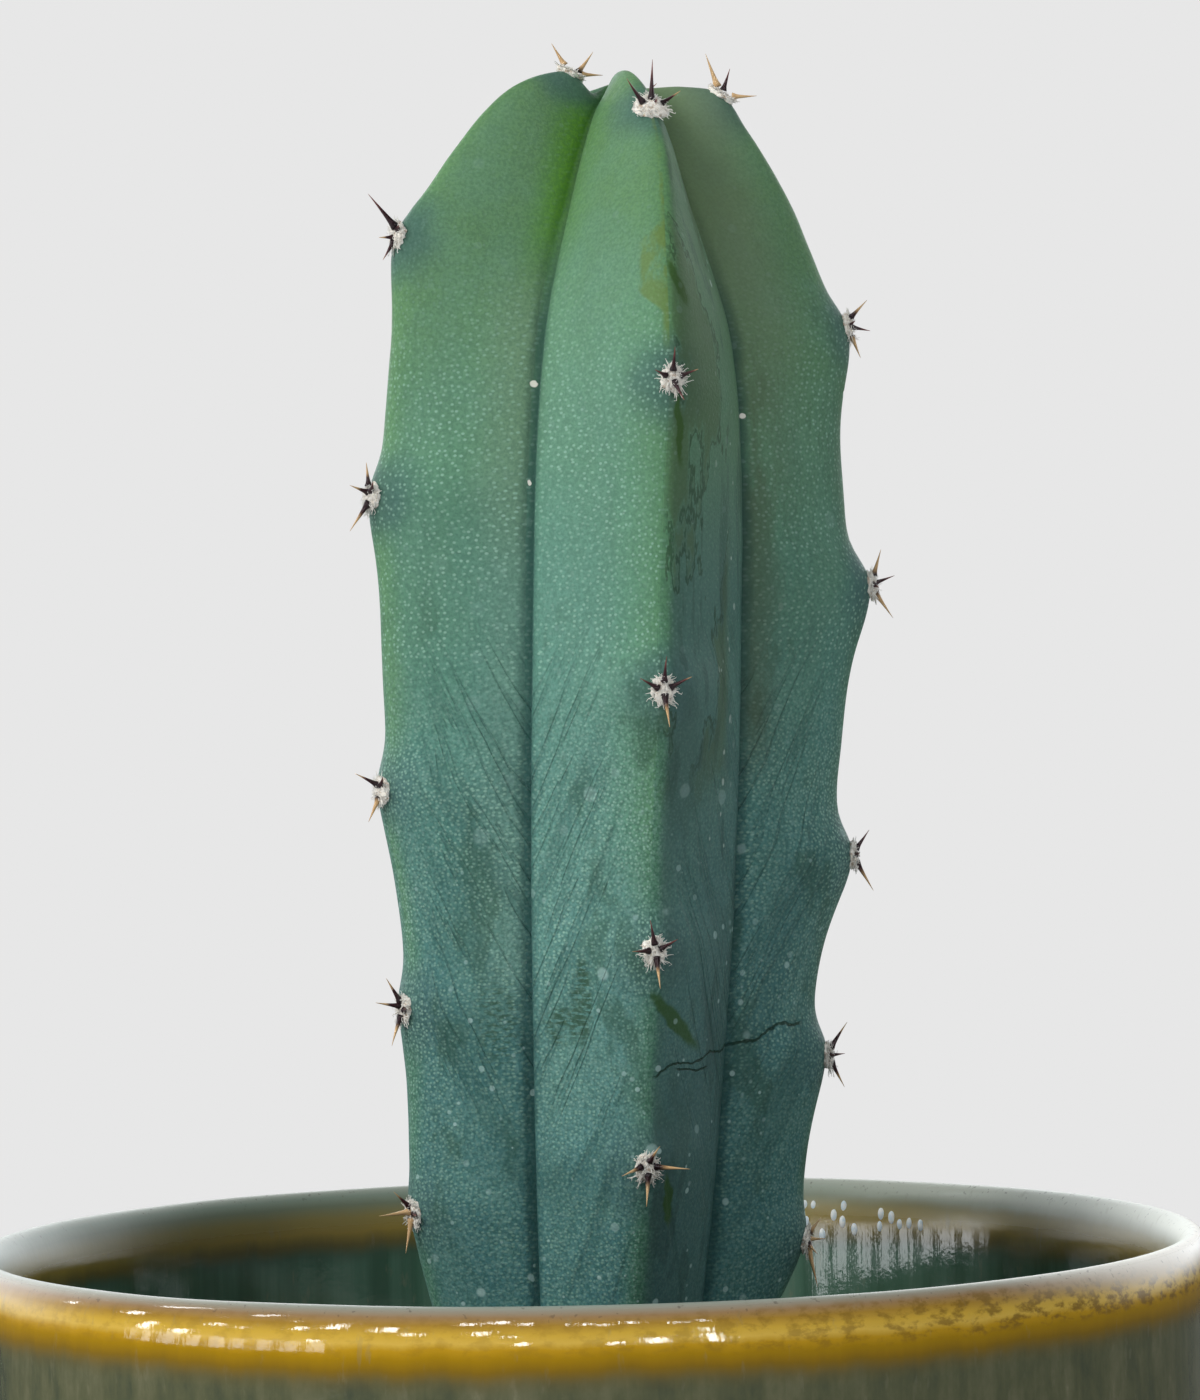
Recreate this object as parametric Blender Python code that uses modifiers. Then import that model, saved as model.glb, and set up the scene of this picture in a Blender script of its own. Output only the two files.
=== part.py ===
"""A columnar blue myrtle cactus in a glazed ceramic pot.

Metres, +Z up, the middle of the pot's foot at the origin, the front of the plant towards -Y.
Heights of the stem are given above the pot's rim, and turns are given in degrees from the front
towards +X. The stem is one five-ribbed body whose buried end goes down into the potting mix.
"""

import math
import random

import bmesh
import bpy
import numpy as np
from mathutils import Matrix, Vector

# ---------------------------------------------------------------- pot
POT_HEIGHT = 0.140
POT_RADIUS = 0.075
POT_WALL = 0.0054
POT_FLOOR = 0.0075
POT_LIP_DROP = 0.0060
POT_INSIDE_ROUND = 0.005
POT_BOTTOM_ROUND = 0.006
FOOT_INSET = 0.0085
FOOT_WIDTH = 0.0105
FOOT_HEIGHT = 0.0020
FOOT_SLOPE = 0.0008
ROUND_STEPS = 48

# ---------------------------------------------------------------- potting mix
GAP = 0.0003
HOLE_GROW = 0.5
SOIL_BELOW_RIM = 0.0215
SOIL_LUMP = 0.0007
SOIL_RINGS = 6

# ---------------------------------------------------------------- stem
STEM_CENTRE_X = 0.0011
STEM_LEAN = 0.033
STEM_STRETCH = 1.0
STEM_GIRTH = 1.0
STEM_BASE = -49.0
STEM_APEX = 137.5
BODY_TOP = 100.0
BODY_RINGS = 28
DOME_RINGS = 13
BURIED_RINGS = 4
FLANK_SPOTS = (0.0, 0.15, 0.34, 0.56, 0.79, 0.95)
CREASE_DEPTH = 0.9
CREASE_FULL_RADIUS = 12.0
CREST_ROUND = 2.4
NUB_ROUND = 2.2
NUB_LENGTH = 3.5
FLANK_BULGE = 0.42
SAG_ABOVE = 4.0
SAG_BELOW = 7.8
FRONT_MIDDLE_TURN = 1.8
MIDDLE_TURN_START = 60.0
MIDDLE_TURN_END = 100.0
FRONT_TIP_TURN = 6.8
TIP_TURN_START = 104.0
TIP_TURN_END = 137.0

# The groove between two ribs: (height above the rim, radius), in millimetres.
GROOVE = [
    (STEM_BASE, 0), (-46, 6.5), (-40, 11.0), (-30, 14.0), (-22, 15.4), (-6, 17.4), (8, 19.0),
    (22, 20.2), (42, 21.5), (70, 22.0), (95, 21.4), (107, 19.4), (114, 16.6), (121, 13.0),
    (128, 9.0), (133.2, 5.2), (135.6, 2.3), (STEM_APEX, 0),
]

# The buried end that all crests share, and the apex, in millimetres.
CREST_FOOT = [(STEM_BASE, 0), (-46, 7.5), (-40, 12.5), (-30, 16.3), (-22, 17.9), (-14, 19.6)]
CREST_END = [(STEM_APEX, 0)]

# Each rib: its turn, its areoles as (height, radius), how far the crest sinks between one areole
# and the next, and the crest above its last body areole. Millimetres.
RIBS = {
    "front": (
        12.4,
        [(10.2, 26.2), (35.2, 28.6), (65.1, 31.2), (100.6, 30.2), (133.4, 13.8)],
        [1.3, 1.9, 2.1],
        [(111.0, 28.4), (120.0, 24.2), (127.5, 19.3)],
        [(136.7, 9.6), (138.5, 5.6), (138.5, 2.2)],
    ),
    "left": (
        -59.5,
        [(4.3, 25.0), (28.3, 26.6), (54.0, 29.9), (88.3, 31.7), (118.8, 28.7), (138.6, 5.4)],
        [0.7, 1.3, 1.6, 1.7],
        [(121.6, 27.0), (124.4, 24.7), (128.6, 21.6), (133.7, 17.1), (136.7, 13.3), (138.4, 9.0)],
        [(136.2, 3.0)],
    ),
    "right": (
        84.5,
        [(-1.0, 25.0), (21.0, 27.4), (44.8, 30.1), (76.9, 31.9), (107.7, 28.7), (135.9, 13.4)],
        [1.5, 2.5, 2.6, 2.9],
        [(112.2, 26.2), (117.0, 24.2), (121.9, 22.2), (126.6, 19.6), (131.5, 16.5)],
        [(136.9, 9.0), (136.9, 4.0)],
    ),
    "back_left": (
        -131.5,
        [(1.5, 25.4), (24.0, 27.4), (49.0, 30.0), (82.0, 31.6), (112.0, 29.4), (134.8, 13.0)],
        [1.0, 1.8, 1.9, 1.8],
        [(117.5, 26.4), (123.0, 22.6), (128.0, 19.0), (132.2, 15.6)],
        [(136.6, 8.6), (136.9, 3.6)],
    ),
    "back_right": (
        156.5,
        [(7.0, 26.0), (31.0, 28.2), (60.0, 30.8), (95.0, 31.2), (122.5, 25.0), (136.4, 8.4)],
        [1.1, 1.8, 2.0, 1.6],
        [(127.0, 21.4), (131.0, 17.4), (134.4, 12.8)],
        [(136.9, 3.8)],
    ),
}

# ---------------------------------------------------------------- areoles
PAD_HALF_WIDTH = 0.0017
PAD_HALF_HEIGHT = 0.0020
PAD_RISE = 0.0011
PAD_BACK = 0.0003
PAD_CURVE = 115.0
PAD_SEGMENTS = 8
PAD_RINGS = 5
SPINE_SIDES = 4
SPINE_BASE_RADIUS = 0.00042
SPINE_TIP_RADIUS = 0.00009

# Each spine: sideways, upwards and outwards parts of its direction, and its length.
SPINES = [
    (0.04, 0.90, 0.38, 0.0037),
    (-0.86, 0.22, 0.44, 0.0029),
    (0.86, 0.16, 0.44, 0.0029),
    (-0.06, -0.88, 0.40, 0.0044),
    (0.22, -0.18, 0.95, 0.0018),
]


def clear_scene():
    for old in list(bpy.data.objects):
        bpy.data.objects.remove(old, do_unlink=True)
    for old in list(bpy.data.collections):
        bpy.data.collections.remove(old)


def new_collection(name):
    made = bpy.data.collections.new(name)
    bpy.context.scene.collection.children.link(made)
    return made


def new_object(name, mesh, collection, material=None):
    made = bpy.data.objects.new(name, mesh)
    collection.objects.link(made)
    if material:
        mesh.materials.append(material)
    return made


def new_helper(name, mesh, collection):
    made = new_object(name, mesh, collection)
    made.hide_render = True
    made.display_type = "WIRE"
    return made


def new_material(name, colour, roughness):
    made = bpy.data.materials.new(name)
    made.use_nodes = True
    shader = made.node_tree.nodes["Principled BSDF"]
    shader.inputs["Base Color"].default_value = (*colour, 1.0)
    shader.inputs["Roughness"].default_value = roughness
    shader.inputs["Metallic"].default_value = 0.0
    return made


def shade_smooth(mesh):
    for face in mesh.polygons:
        face.use_smooth = True


def arc(centre, half_width, half_height, start, end, steps):
    """Points (r, z) of an elliptical arc from one angle to another, in degrees, ends included."""
    found = []
    for i in range(steps + 1):
        angle = math.radians(start + (end - start) * i / steps)
        r = centre[0] + half_width * math.cos(angle)
        z = centre[1] + half_height * math.sin(angle)
        found.append((r, z))
    return found


def turned(name, profile, collection, material=None):
    """A profile of (r, z) points turned round the Z axis, baked into a closed mesh."""
    mesh = bpy.data.meshes.new(name + "_profile")
    mesh.from_pydata([(r, 0.0, z) for r, z in profile], [(i, i + 1) for i in range(len(profile) - 1)], [])
    guide = bpy.data.objects.new(name + "_profile", mesh)
    collection.objects.link(guide)
    screw = guide.modifiers.new("turn", "SCREW")
    screw.steps = ROUND_STEPS
    screw.render_steps = ROUND_STEPS
    screw.use_merge_vertices = True
    screw.merge_threshold = 0.00001
    bpy.context.view_layer.update()
    solid = bpy.data.meshes.new_from_object(guide.evaluated_get(bpy.context.evaluated_depsgraph_get()))
    bpy.data.objects.remove(guide, do_unlink=True)
    bm = bmesh.new()
    bm.from_mesh(solid)
    bmesh.ops.remove_doubles(bm, verts=bm.verts, dist=0.00001)
    bmesh.ops.recalc_face_normals(bm, faces=bm.faces)
    bm.to_mesh(solid)
    bm.free()
    solid.name = name
    return new_object(name, solid, collection, material)


def make_pot(collection):
    """A straight cylinder whose lip is drawn up to a soft rounded edge, on a plain foot ring."""
    lip = POT_WALL / 2
    inside_turn = POT_RADIUS - POT_WALL - POT_INSIDE_ROUND
    bottom_turn = POT_RADIUS - POT_BOTTOM_ROUND
    foot = POT_RADIUS - FOOT_INSET
    profile = [(0.0, POT_FLOOR)]
    turn = POT_INSIDE_ROUND
    profile += arc((inside_turn, POT_FLOOR + turn), turn, turn, -90, 0, 3)
    profile += arc((POT_RADIUS - lip, POT_HEIGHT - POT_LIP_DROP), lip, POT_LIP_DROP, 180, 0, 12)
    turn = POT_BOTTOM_ROUND
    profile += arc((bottom_turn, FOOT_HEIGHT + turn), turn, turn, 0, -90, 4)
    profile += [(foot + FOOT_SLOPE, FOOT_HEIGHT), (foot, 0.0)]
    profile += [(foot - FOOT_WIDTH, 0.0), (foot - FOOT_WIDTH - FOOT_SLOPE, FOOT_HEIGHT)]
    profile += [(0.0, FOOT_HEIGHT)]
    pot = turned("pot", profile, collection, new_material("pot_glaze", (0.16, 0.15, 0.07), 0.12))
    shade_smooth(pot.data)
    return pot


def through(points, per_span=24):
    """A smooth curve through points (height, radius), centripetal so that it makes no loops."""
    p = np.array(points, float)
    p = np.vstack([2 * p[0] - p[1], p, 2 * p[-1] - p[-2]])
    found = []
    for i in range(1, len(p) - 2):
        a, b, c, d = p[i - 1 : i + 3]
        t1 = np.linalg.norm(b - a) ** 0.5
        t2 = t1 + np.linalg.norm(c - b) ** 0.5
        t3 = t2 + np.linalg.norm(d - c) ** 0.5
        for t in np.linspace(t1, t2, per_span, endpoint=False):
            ab = a + (b - a) * t / t1
            bc = b + (c - b) * (t - t1) / (t2 - t1)
            cd = c + (d - c) * (t - t2) / (t3 - t2)
            abc = ab + (bc - ab) * t / t2
            bcd = bc + (cd - bc) * (t - t1) / (t3 - t1)
            found.append(abc + (bcd - abc) * (t - t1) / (t2 - t1))
    found.append(p[-2])
    return np.array(found)


def crest_curve(rib):
    """The crest of a rib as (height, radius) points, sunk a little between its areoles."""
    _, areoles, sags, shoulder, tip = rib
    body = areoles[: len(sags) + 1]
    last = areoles[len(sags) + 1 :]
    curve = through(CREST_FOOT + body + shoulder + last + tip + CREST_END)
    for (low, _), (high, _), sag in zip(body, body[1:], sags):
        above = np.clip(curve[:, 0] - low, 0, None)
        below = np.clip(high - curve[:, 0], 0, None)
        dip = (1 - np.exp(-((above / SAG_ABOVE) ** 2))) * (1 - np.exp(-((below / SAG_BELOW) ** 2)))
        curve[:, 1] -= sag * dip
    return curve


def stations(curve):
    """The curve at the heights of the buried and body rings, then at even steps over the dome."""
    top = int(np.argmax(curve[:, 0] > BODY_TOP))
    soil = -SOIL_BELOW_RIM * 1000 / STEM_STRETCH
    buried = STEM_BASE + (soil - STEM_BASE) * np.linspace(0.06, 1, BURIED_RINGS, endpoint=False)
    heights = np.concatenate([buried, np.linspace(soil, BODY_TOP, BODY_RINGS)])
    radii = np.interp(heights, curve[:top, 0], curve[:top, 1])
    dome = curve[top - 1 :]
    run = np.concatenate([[0], np.cumsum(np.linalg.norm(np.diff(dome, axis=0), axis=1))])
    wanted = run[-1] * np.linspace(0, 1, DOME_RINGS + 1)[1:-1]
    over = np.column_stack([np.interp(wanted, run, dome[:, i]) for i in (0, 1)])
    return np.vstack([np.column_stack([heights, radii]), over])


def smooth(value, low, high):
    share = min(max((value - low) / (high - low), 0.0), 1.0)
    return share * share * (3 - 2 * share)


def turn_at(name, height):
    """The front rib turns a little to the right on its way up, and more as it goes over the top."""
    turn = RIBS[name][0]
    if name == "front":
        turn += FRONT_MIDDLE_TURN * smooth(height, MIDDLE_TURN_START, MIDDLE_TURN_END)
        turn += FRONT_TIP_TURN * smooth(height, TIP_TURN_START, TIP_TURN_END) ** 2
    return turn


def placed(height, outwards, sideways, turn):
    """Millimetres in the stem's own measure, from its leaning middle line, as a point in metres."""
    angle = math.radians(turn)
    up = height * 0.001 * STEM_STRETCH
    girth = 0.001 * STEM_GIRTH
    x = outwards * math.sin(angle) + sideways * math.cos(angle)
    y = sideways * math.sin(angle) - outwards * math.cos(angle)
    return Vector((STEM_CENTRE_X + STEM_LEAN * up + girth * x, girth * y, POT_HEIGHT + up))


def crest_round(name, height):
    """Half the width of the crest's rounding, wider where an areole sits."""
    near = min(abs(height - areole[0]) for areole in RIBS[name][1])
    return CREST_ROUND + NUB_ROUND * math.exp(-((near / NUB_LENGTH) ** 2))


def flank(name, crest, groove, groove_turn, grow):
    """Points from the crest of a rib to the groove beside it, the crest included."""
    crest_turn = turn_at(name, crest[0])
    apart = math.radians(groove_turn - crest_turn)
    crest_r = crest[1] + grow
    groove_r = groove[1] + grow
    width = groove_r * math.sin(apart)
    soft = min(crest_round(name, crest[0]) / abs(width), 0.6)
    found = []
    for across in FLANK_SPOTS:
        rounded = (math.hypot(across, soft) - soft) / (math.hypot(1, soft) - soft)
        down = (1 - FLANK_BULGE) * rounded + FLANK_BULGE * across * across
        outwards = crest_r + (groove_r * math.cos(apart) - crest_r) * down
        height = crest[0] + (groove[0] - crest[0]) * down
        found.append(placed(height, outwards, width * across, crest_turn))
    return found


def stem_mesh(name, grow=0.0):
    """The five-ribbed body, or the room it needs when grow is over nought."""
    order = sorted(RIBS, key=lambda rib: RIBS[rib][0])
    crests = {rib: stations(crest_curve(RIBS[rib])) for rib in order}
    groove = stations(through(GROOVE))
    bm = bmesh.new()
    rings = []
    for level in range(len(groove)):
        ring = []
        for i, rib in enumerate(order):
            here = RIBS[rib][0]
            before = RIBS[order[i - 1]][0] - (360 if i == 0 else 0)
            after = RIBS[order[(i + 1) % 5]][0] + (360 if i == 4 else 0)
            left = flank(rib, crests[rib][level], groove[level], (before + here) / 2, grow)
            right = flank(rib, crests[rib][level], groove[level], (here + after) / 2, grow)
            height, radius = groove[level]
            deep = radius - CREASE_DEPTH * min(1.0, radius / CREASE_FULL_RADIUS) + grow
            ring.append(placed(height, deep, 0.0, (before + here) / 2))
            ring += left[:0:-1] + right
        rings.append([bm.verts.new(point) for point in ring])
    count = len(rings[0])
    for low, high in zip(rings, rings[1:]):
        for i in range(count):
            j = (i + 1) % count
            bm.faces.new((low[i], low[j], high[j], high[i]))
    foot = bm.verts.new(placed(STEM_BASE - grow, 0.0, 0.0, 0.0))
    apex = bm.verts.new(placed(STEM_APEX + grow, 0.0, 0.0, 0.0))
    for i in range(count):
        j = (i + 1) % count
        bm.faces.new((foot, rings[0][j], rings[0][i]))
        bm.faces.new((apex, rings[-1][i], rings[-1][j]))
    bmesh.ops.recalc_face_normals(bm, faces=bm.faces)
    mesh = bpy.data.meshes.new(name)
    bm.to_mesh(mesh)
    bm.free()
    shade_smooth(mesh)
    return mesh


def make_soil(collection, cutters):
    """The potting mix: a plug that fills the pot, lumpy on top, with a hole for the buried stem."""
    inner = POT_RADIUS - POT_WALL - GAP
    floor = POT_FLOOR + GAP
    top = POT_HEIGHT - SOIL_BELOW_RIM
    profile = [(inner * i / SOIL_RINGS, top) for i in range(SOIL_RINGS + 1)]
    turn = POT_INSIDE_ROUND
    profile += arc((inner - turn, floor + turn), turn, turn, 0, -90, 3)
    profile += [(0.0, floor)]
    soil = turned("soil", profile, collection, new_material("potting_mix", (0.045, 0.032, 0.022), 0.95))
    for vertex in soil.data.vertices:
        if vertex.co.z > top - GAP:
            x, y = vertex.co.x, vertex.co.y
            lump = math.sin(210 * x + 0.6) * math.cos(170 * y - 0.4) + 0.5 * math.sin(390 * x - 260 * y)
            vertex.co.z += SOIL_LUMP * lump
    hole = new_helper("stem_hole_cutter", stem_mesh("stem_hole_cutter", grow=HOLE_GROW), cutters)
    cut = soil.modifiers.new("stem hole", "BOOLEAN")
    cut.operation = "DIFFERENCE"
    cut.solver = "EXACT"
    cut.object = hole
    return soil


def areole_frame(name, place):
    """The areole's own frame on the crest: sideways, up along the crest, outwards, and its origin."""
    spots = stations(crest_curve(RIBS[name]))
    finer = np.linspace(0, len(spots) - 1, len(spots) * 20)
    curve = np.column_stack([np.interp(finer, range(len(spots)), spots[:, i]) for i in (0, 1)])
    height, radius = place
    at = int(np.argmin(np.hypot(curve[:, 0] - height, curve[:, 1] - radius)))
    along = curve[min(at + 14, len(curve) - 1)] - curve[at - 14]
    along = along / np.linalg.norm(along)
    turn = turn_at(name, height)
    angle = math.radians(turn)
    out = Vector((math.sin(angle), -math.cos(angle), 0.0))
    up = (out * along[1] + Vector((0, 0, along[0]))).normalized()
    side = Vector((math.cos(angle), math.sin(angle), 0.0))
    outwards = side.cross(up).normalized()
    frame = Matrix((side, up, outwards)).transposed().to_4x4()
    frame.translation = placed(curve[at][0], curve[at][1], 0.0, turn)
    return frame


def pad_mesh(name, frame, scale):
    """The woolly cushion: a low dome whose back follows the rounded crest, just clear of it."""
    bm = bmesh.new()
    bmesh.ops.create_uvsphere(bm, u_segments=PAD_SEGMENTS, v_segments=PAD_RINGS, radius=1.0)
    for vertex in bm.verts:
        x, y, z = vertex.co
        side = x * PAD_HALF_WIDTH * scale
        rise = z * (PAD_RISE * scale if z > 0 else PAD_BACK)
        vertex.co = (side, y * PAD_HALF_HEIGHT * scale, rise + PAD_BACK + GAP - PAD_CURVE * side * side)
    bmesh.ops.transform(bm, matrix=frame, verts=bm.verts)
    bmesh.ops.recalc_face_normals(bm, faces=bm.faces)
    mesh = bpy.data.meshes.new(name)
    bm.to_mesh(mesh)
    bm.free()
    shade_smooth(mesh)
    return mesh


def spines_mesh(name, frame, scale, draw):
    """The stout short spines, each a tapered cone that starts inside the cushion."""
    bm = bmesh.new()
    for side, up, out, length in SPINES:
        way = Vector((side + draw.uniform(-0.14, 0.14), up + draw.uniform(-0.10, 0.10), out)).normalized()
        long = length * scale * draw.uniform(0.85, 1.15)
        start = Vector((way.x * 0.0009, way.y * 0.0012, PAD_BACK + GAP + 0.0005 * scale))
        turn = Vector((0, 0, 1)).rotation_difference(way).to_matrix().to_4x4()
        place = frame @ Matrix.Translation(start + way * long / 2) @ turn
        bmesh.ops.create_cone(
            bm,
            cap_ends=True,
            segments=SPINE_SIDES,
            radius1=SPINE_BASE_RADIUS,
            radius2=SPINE_TIP_RADIUS,
            depth=long,
            matrix=place,
        )
    mesh = bpy.data.meshes.new(name)
    bm.to_mesh(mesh)
    bm.free()
    return mesh


def make_areoles(collection, cutters):
    wool = new_material("areole_wool", (0.62, 0.56, 0.48), 0.9)
    draw = random.Random(5)
    for rib, parts in RIBS.items():
        for number, place in enumerate(parts[1], 1):
            name = f"areole_{rib}_{number}"
            frame = areole_frame(rib, place)
            scale = draw.uniform(0.92, 1.06)
            pad = new_object(name, pad_mesh(name, frame, scale), collection, wool)
            spines = new_helper(f"{name}_spines", spines_mesh(f"{name}_spines", frame, scale, draw), cutters)
            join = pad.modifiers.new("spines", "BOOLEAN")
            join.operation = "UNION"
            join.solver = "EXACT"
            join.object = spines


def main():
    clear_scene()
    plant = new_collection("potted_tall_cactus")
    cutters = new_collection("cutters")
    cutters.hide_render = True
    make_pot(plant)
    make_soil(plant, cutters)
    skin = new_material("cactus_skin", (0.09, 0.20, 0.15), 0.45)
    new_object("stem", stem_mesh("stem"), plant, skin)
    make_areoles(plant, cutters)


main()
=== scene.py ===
import collections
import math
import random

import bmesh
import bpy
import numpy as np
from mathutils import Matrix, Vector, noise


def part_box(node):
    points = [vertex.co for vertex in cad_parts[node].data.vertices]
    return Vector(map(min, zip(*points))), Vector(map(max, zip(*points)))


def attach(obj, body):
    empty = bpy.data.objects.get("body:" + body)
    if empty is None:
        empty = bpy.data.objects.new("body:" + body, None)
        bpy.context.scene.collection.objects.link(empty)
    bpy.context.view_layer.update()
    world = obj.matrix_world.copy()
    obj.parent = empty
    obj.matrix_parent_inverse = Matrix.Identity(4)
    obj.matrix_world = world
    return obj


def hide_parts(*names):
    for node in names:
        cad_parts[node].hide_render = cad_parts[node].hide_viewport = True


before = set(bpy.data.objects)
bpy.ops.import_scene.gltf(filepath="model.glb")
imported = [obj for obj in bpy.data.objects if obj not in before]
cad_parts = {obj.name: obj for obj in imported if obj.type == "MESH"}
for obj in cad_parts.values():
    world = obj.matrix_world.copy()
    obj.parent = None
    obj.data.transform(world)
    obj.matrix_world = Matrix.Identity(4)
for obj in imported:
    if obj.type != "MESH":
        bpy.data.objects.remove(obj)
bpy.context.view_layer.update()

MM = 0.001

# ---------------------------------------------------------------- sizes shared with the CAD part
_, POT_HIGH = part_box("pot")
POT_HEIGHT = POT_HIGH.z
POT_RADIUS = POT_HIGH.x
POT_WALL = 5.4 * MM
POT_FLOOR = 7.5 * MM
LIP_DROP = 6.0 * MM
INSIDE_ROUND = 5.0 * MM
BOTTOM_ROUND = 6.0 * MM
FOOT_INSET = 8.5 * MM
FOOT_WIDTH = 10.5 * MM
FOOT_HEIGHT = 2.0 * MM
FOOT_SLOPE = 0.8 * MM
SOIL_TOP = POT_HEIGHT - 21.5 * MM
STEM_CENTRE_X = 1.1
STEM_LEAN = 0.033
BODY_TOP = 100.0
STEM_APEX = 137.5
STEM_BASE = -49.0

# Every (height, radius) below is in millimetres, from the rim and from the stem's middle line, as in the
# CAD stem.
GROOVE = [
    (STEM_BASE, 0), (-46, 6.5), (-40, 11.0), (-30, 14.0), (-22, 15.4), (-6, 17.4), (8, 19.0),
    (22, 20.2), (42, 21.5), (70, 22.0), (95, 21.4), (107, 19.4), (114, 16.6), (121, 13.0),
    (128, 9.0), (133.2, 5.2), (135.6, 2.3), (STEM_APEX, 0),
]
CREST_FOOT = [(STEM_BASE, 0), (-46, 7.5), (-40, 12.5), (-30, 16.3), (-22, 17.9), (-14, 19.6)]
CREST_END = [(STEM_APEX, 0)]
# A rib's turn from the front in degrees, its areoles, how far its crest sags between them, and its end.
Rib = collections.namedtuple("Rib", "turn areoles sags shoulder tip")
RIBS = {
    "front": Rib(
        12.4,
        [(10.2, 26.2), (35.2, 28.6), (65.1, 31.2), (100.6, 30.2), (133.4, 13.8)],
        [1.3, 1.9, 2.1],
        [(111.0, 28.4), (120.0, 24.2), (127.5, 19.3)],
        [(136.7, 9.6), (138.5, 5.6), (138.5, 2.2)],
    ),
    "left": Rib(
        -59.5,
        [(4.3, 25.0), (28.3, 26.6), (54.0, 29.9), (88.3, 31.7), (118.8, 28.7), (138.6, 5.4)],
        [0.7, 1.3, 1.6, 1.7],
        [(121.6, 27.0), (124.4, 24.7), (128.6, 21.6), (133.7, 17.1), (136.7, 13.3), (138.4, 9.0)],
        [(136.2, 3.0)],
    ),
    "right": Rib(
        84.5,
        [(-1.0, 25.0), (21.0, 27.4), (44.8, 30.1), (76.9, 31.9), (107.7, 28.7), (135.9, 13.4)],
        [1.5, 2.5, 2.6, 2.9],
        [(112.2, 26.2), (117.0, 24.2), (121.9, 22.2), (126.6, 19.6), (131.5, 16.5)],
        [(136.9, 9.0), (136.9, 4.0)],
    ),
    "back_left": Rib(
        -131.5,
        [(1.5, 25.4), (24.0, 27.4), (49.0, 30.0), (82.0, 31.6), (112.0, 29.4), (134.8, 13.0)],
        [1.0, 1.8, 1.9, 1.8],
        [(117.5, 26.4), (123.0, 22.6), (128.0, 19.0), (132.2, 15.6)],
        [(136.6, 8.6), (136.9, 3.6)],
    ),
    "back_right": Rib(
        156.5,
        [(7.0, 26.0), (31.0, 28.2), (60.0, 30.8), (95.0, 31.2), (122.5, 25.0), (136.4, 8.4)],
        [1.1, 1.8, 2.0, 1.6],
        [(127.0, 21.4), (131.0, 17.4), (134.4, 12.8)],
        [(136.9, 3.8)],
    ),
}

# ---------------------------------------------------------------- fineness of the visual model
BURIED_LEVELS = 6
BODY_LEVELS = 200
DOME_LEVELS = 84
FLANK_STEPS = 17
POT_TURN_STEPS = 288


# ================================================================ node graphs
class Graph:
    """A node tree, written as plain calls that return sockets."""

    def __init__(self, tree):
        self.tree = tree

    def node(self, kind, **settings):
        made = self.tree.nodes.new(kind)
        for key, value in settings.items():
            setattr(made, key, value)
        return made

    def feed(self, socket, value):
        if isinstance(value, bpy.types.NodeSocket):
            self.tree.links.new(value, socket)
        elif isinstance(value, tuple) and len(value) == 3 and socket.type == "RGBA":
            socket.default_value = (*value, 1.0)
        else:
            socket.default_value = value

    def math(self, operation, *values):
        made = self.node("ShaderNodeMath", operation=operation)
        for socket, value in zip(made.inputs, values):
            self.feed(socket, value)
        return made.outputs[0]

    def chain(self, operation, first, *others):
        for other in others:
            first = self.math(operation, first, other)
        return first

    def mul(self, *values):
        return self.chain("MULTIPLY", *values)

    def add(self, *values):
        return self.chain("ADD", *values)

    def most(self, *values):
        return self.chain("MAXIMUM", *values)

    def sub(self, a, b):
        return self.math("SUBTRACT", a, b)

    def fade(self, value, low, high, start=0.0, end=1.0):
        made = self.node("ShaderNodeMapRange", interpolation_type="SMOOTHSTEP")
        for socket, given in zip(made.inputs, (value, low, high, start, end)):
            self.feed(socket, given)
        return made.outputs[0]

    def band(self, value, low, high, soft):
        """One between low and high, falling to nought over soft outside them."""
        return self.mul(self.fade(value, low - soft, low), self.fade(value, high, high + soft, 1.0, 0.0))

    def spot(self, u, v, at, reach, soft):
        """One inside an upright ellipse of half-sizes reach about a place, nought outside it."""
        across = self.mul(self.sub(u, at[0]), 1.0 / reach[0])
        along = self.mul(self.sub(v, at[1]), 1.0 / reach[1])
        far = self.math("SQRT", self.add(self.mul(across, across), self.mul(along, along)))
        return self.fade(far, 1.0 - soft, 1.0 + soft, 1.0, 0.0)

    def mix(self, share, a, b):
        made = self.node("ShaderNodeMix", data_type="RGBA")
        for at, value in ((0, share), (6, a), (7, b)):
            self.feed(made.inputs[at], value)
        return made.outputs[2]

    def ramp(self, value, stops):
        made = self.node("ShaderNodeValToRGB")
        elements = made.color_ramp.elements
        while len(elements) < len(stops):
            elements.new(0.5)
        for element, (at, colour) in zip(elements, stops):
            element.position = at
            element.color = (*colour, 1.0)
        self.feed(made.inputs[0], value)
        return made.outputs[0]

    def split(self, vector):
        made = self.node("ShaderNodeSeparateXYZ")
        self.feed(made.inputs[0], vector)
        return made.outputs

    def join(self, x, y, z):
        made = self.node("ShaderNodeCombineXYZ")
        for socket, value in zip(made.inputs, (x, y, z)):
            self.feed(socket, value)
        return made.outputs[0]


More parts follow.
